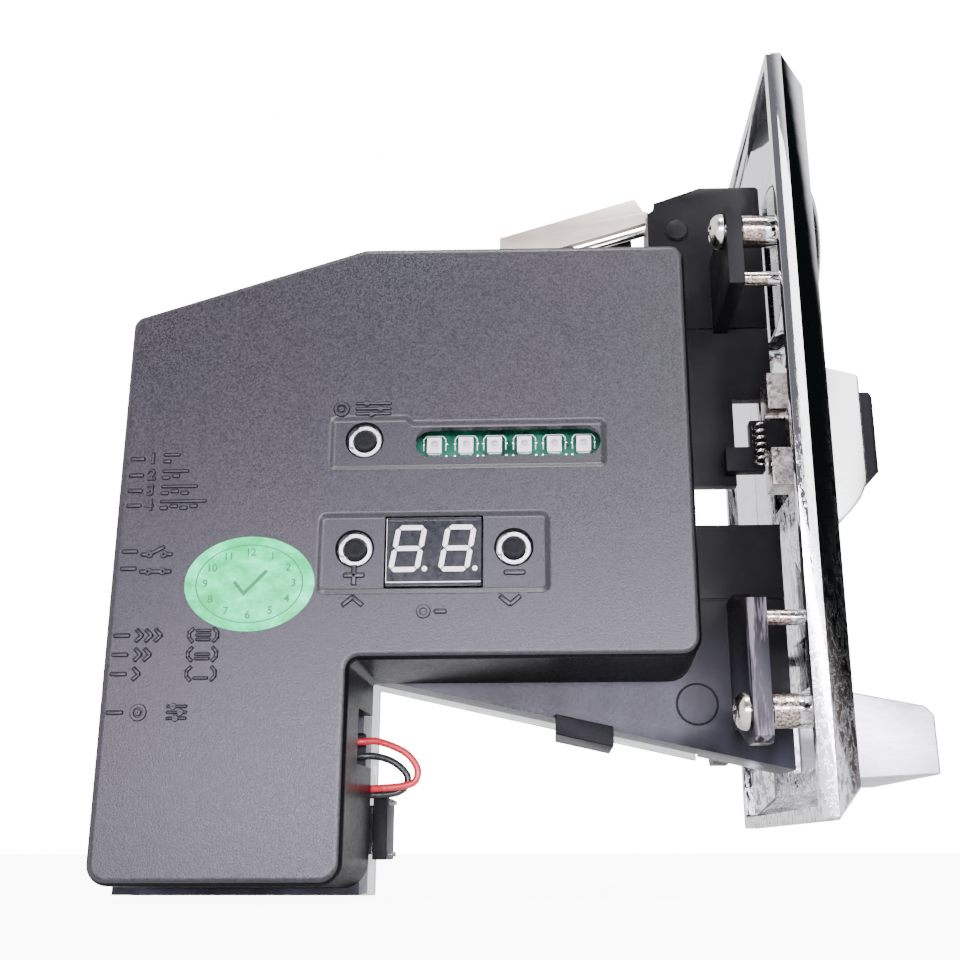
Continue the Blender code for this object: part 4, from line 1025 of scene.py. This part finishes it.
def coil_points(axis, centre, radius, start, end, turns, steps=20):
    """A helix about X, Y or Z."""
    points = []
    for i in range(steps * turns + 1):
        along = start + (end - start) * i / (steps * turns)
        points.append(polar(axis, centre, along, radius, 2 * pi * i / steps))
    return points


def springs():
    """The three coil springs, drawn finer."""
    gauge = 0.25
    upright = coil_points("z", (-0.95, -10.9, 0), 1.0, -3.2, 4.2, 6)
    place(wire("upright_spring", upright, gauge, ["nickel"], 8, 1), "root", "nickel", "arm_spring")
    for node, axis, joint, travel, fixed in (
            ("button_spring", 0, "reject_button_press", 0.0035, 0),
            ("solenoid_spring", 1, "accept_gate_draw", 0.0045, 1)):
        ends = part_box(node)
        low, high = (Vector(corner) for corner in ends)
        middle = (low + high) / 2 / MM
        middle.z -= RIM_MID
        radius = (high.z - low.z) / 2 / MM - gauge
        centre = list(middle)
        centre[axis] = 0.0
        start, end = low[axis] / MM + gauge, high[axis] / MM - gauge
        points = coil_points("xyz"[axis], centre, radius, start, end, 5)
        coil = place(wire(node + "_coil", points, gauge, ["nickel"], 8, 1), "root", "nickel", node)
        anchor = (low + high) / 2
        anchor[axis] = ends[fixed][axis]
        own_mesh(coil)


def leads():
    """Red and black leads of the light emitter: out of the cover's window and back into the leg."""
    radius = 0.6
    red = [(-84.0, -19.3, -49.0), (-80.0, -16.0, -49.2), (-74.4, -9.6, -49.8), (-71.4, -6.7, -49.9),
           (-69.4, -5.7, -49.8), (-66.7, -5.5, -49.8), (-62.6, -5.5, -51.4), (-60.5, -5.5, -53.5),
           (-60.1, -5.5, -55.4), (-61.4, -5.5, -56.9), (-66.6, -5.5, -57.5), (-69.4, -5.4, -57.5),
           (-71.8, -6.7, -57.2), (-75.6, -8.8, -56.2), (-82.0, -9.6, -53.8), (-86.6, -8.6, -51.6),
           (-87.4, -6.6, -51.2)]
    black = [(-84.0, -19.3, -52.2), (-80.0, -15.4, -52.2), (-74.6, -8.2, -52.2), (-71.4, -5.3, -52.1),
             (-69.4, -4.2, -52.1), (-67.6, -3.9, -52.1), (-65.2, -3.9, -52.7), (-63.1, -3.9, -54.0),
             (-61.9, -3.9, -55.7), (-62.5, -3.9, -57.4), (-64.4, -3.9, -58.3), (-67.6, -3.9, -58.5),
             (-69.4, -4.2, -58.5), (-71.8, -5.8, -58.4), (-76.0, -8.0, -58.0), (-83.0, -9.2, -55.8),
             (-88.2, -8.6, -53.4), (-88.6, -6.6, -52.8)]
    place(wire("red_lead", red, radius, ["red_pvc"], 14), "root", "red_pvc", "red_wire")
    place(wire("black_lead", black, radius, ["black_pvc"], 14), "root", "black_pvc", "black_wire")


def body_details():
    """Moulded mark, ejector ring and latch pegs on the black body."""
    dome = turned("moulded_dot", "y", (-12.9, 0, 45.2), [
        (-5.8, 2.2), (-6.2, 2.2), (-6.5, 1.9), (-6.6, 1.2), (-6.62, 0.5)], 32, ["body_black"])
    pin = turned("ejector_pad", "y", (-13.2, 0, -43.9), [
        (-5.7, 3.3), (-6.08, 3.3), (-6.16, 3.2), (-6.16, 1.0)], 40, ["body_black"])
    # A dark disc a little wider than the pad, behind it, paints the shade in the groove round the
    # ejector mark.
    groove_shade = turned("ejector_groove_shade", "y", (-13.2, 0, -43.9), [
        (-5.9, 3.62), (-6.03, 3.6), (-6.03, 1.0)], 40, ["mark_black"])
    place(merge("body_marks", [dome, pin, groove_shade]), "root", "body_black")
    foot = -66.2
    pegs = [turned("peg", "x", (0, -0.5, z), [(foot, 0.42), (foot + 1.9, 0.42), (foot + 2.1, 0.3)], 16,
                   ["clear_plastic"]) for z in (-59.7, -68.1)]
    place(merge("latch_pegs", pegs), "root", "clear_plastic")


def sensor_coil():
    """Flat coil on the coin door: wound turns round a small former."""
    low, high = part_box("far_sensor_coil")
    x, z = (low[0] + high[0]) / 2 / MM, (low[2] + high[2]) / 2 / MM - RIM_MID
    near, far, r = low[1] / MM, high[1] / MM, (high[0] - low[0]) / 2 / MM
    pitch = 0.28
    profile = [(near, r)]
    profile += [(far - 0.12 * abs(cos(pi * turn / 2)), r - 0.1 - turn * pitch)
                for turn in range(int((r - 2.6) / pitch))]
    profile += [(far - 0.5, 2.4), (far - 0.5, 1.2)]
    coil = turned("sensor_coil", "y", (x, 0, z), profile, 72, ["coil_brown"])
    former = turned("coil_former", "y", (x, 0, z), [
        (far - 0.6, 2.3), (far - 0.05, 2.3), (far, 2.2), (far, 1.2)], 40, ["connector_nylon"])
    return place(merge("sensor_coil", [coil, former]), "coin_door", "coil_brown", "far_sensor_coil")


# ---------------------------------------------------------------- carried-over pieces
SLOTS = {entry["node"]: entry["material_slot"] for entry in frame["record"]["subparts"]}
OTHER_LOOKS = {"return_cup": "cup_grey", "reject_button_bezel": "satin_chrome",
               "button_guide": "cast_nickel", "reject_lever": "lever_nickel",
               "cover_black": "cover_wall", "leg_clip": "button_black", "chute_clip": "button_black"}
EDGES = {"front_panel": 0.25, "main_body": 0.25, "return_cup": 0.9, "reject_button_bezel": 0.5,
         "reject_button": 0.6, "button_guide": 0.3, "clear_side_cover": 0.2, "coin_door": 0.2,
         "reject_lever": 0.15, "chute_clip": 0.2, "leg_clip": 0.2, "solenoid_frame": 0.3,
         "main_pcb": 0.1}
FINE_EDGE = 0.08                   # for the pieces that EDGES leaves out


def dress_nodes():
    """Materials and softened edges for the CAD pieces that stay."""
    for name, node in frame["nodes"].items():
        look = OTHER_LOOKS.get(name, SLOTS[name])
        look = OTHER_LOOKS.get(look, look)
        node.data.materials.clear()
        node.data.materials.append(LOOKS[look])
        node.data.shade_smooth()
        weld = node.modifiers.new("weld", "WELD")
        weld.merge_threshold = 0.005 * MM
        flat = node.modifiers.new("flat", "DECIMATE")
        flat.decimate_type, flat.angle_limit = "DISSOLVE", radians(0.6)
        soften(node, EDGES.get(name, FINE_EDGE), 3 if name in EDGES else 2)


add_camera()
add_world()
add_floor()
add_light("key", (0.0, -0.75, -0.01), (-0.05, 0, 0.03), (0.75, 0.22), 19.0, (1.0, 0.935, 1.13))
add_light("right", (0.36, -0.80, 0.25), (0, 0, 0.08), (0.35, 1.3), 7.0)
add_light("high", (-0.06, -0.36, 0.70), (-0.05, 0, 0.05), (0.2, 0.2), 4.0)
dress_nodes()
electronics_cover()
cover_marks()
label()
display()
lamps()
board_print()
keys()
coin_entry()
ear_screws()
springs()
leads()
body_details()
sensor_coil()
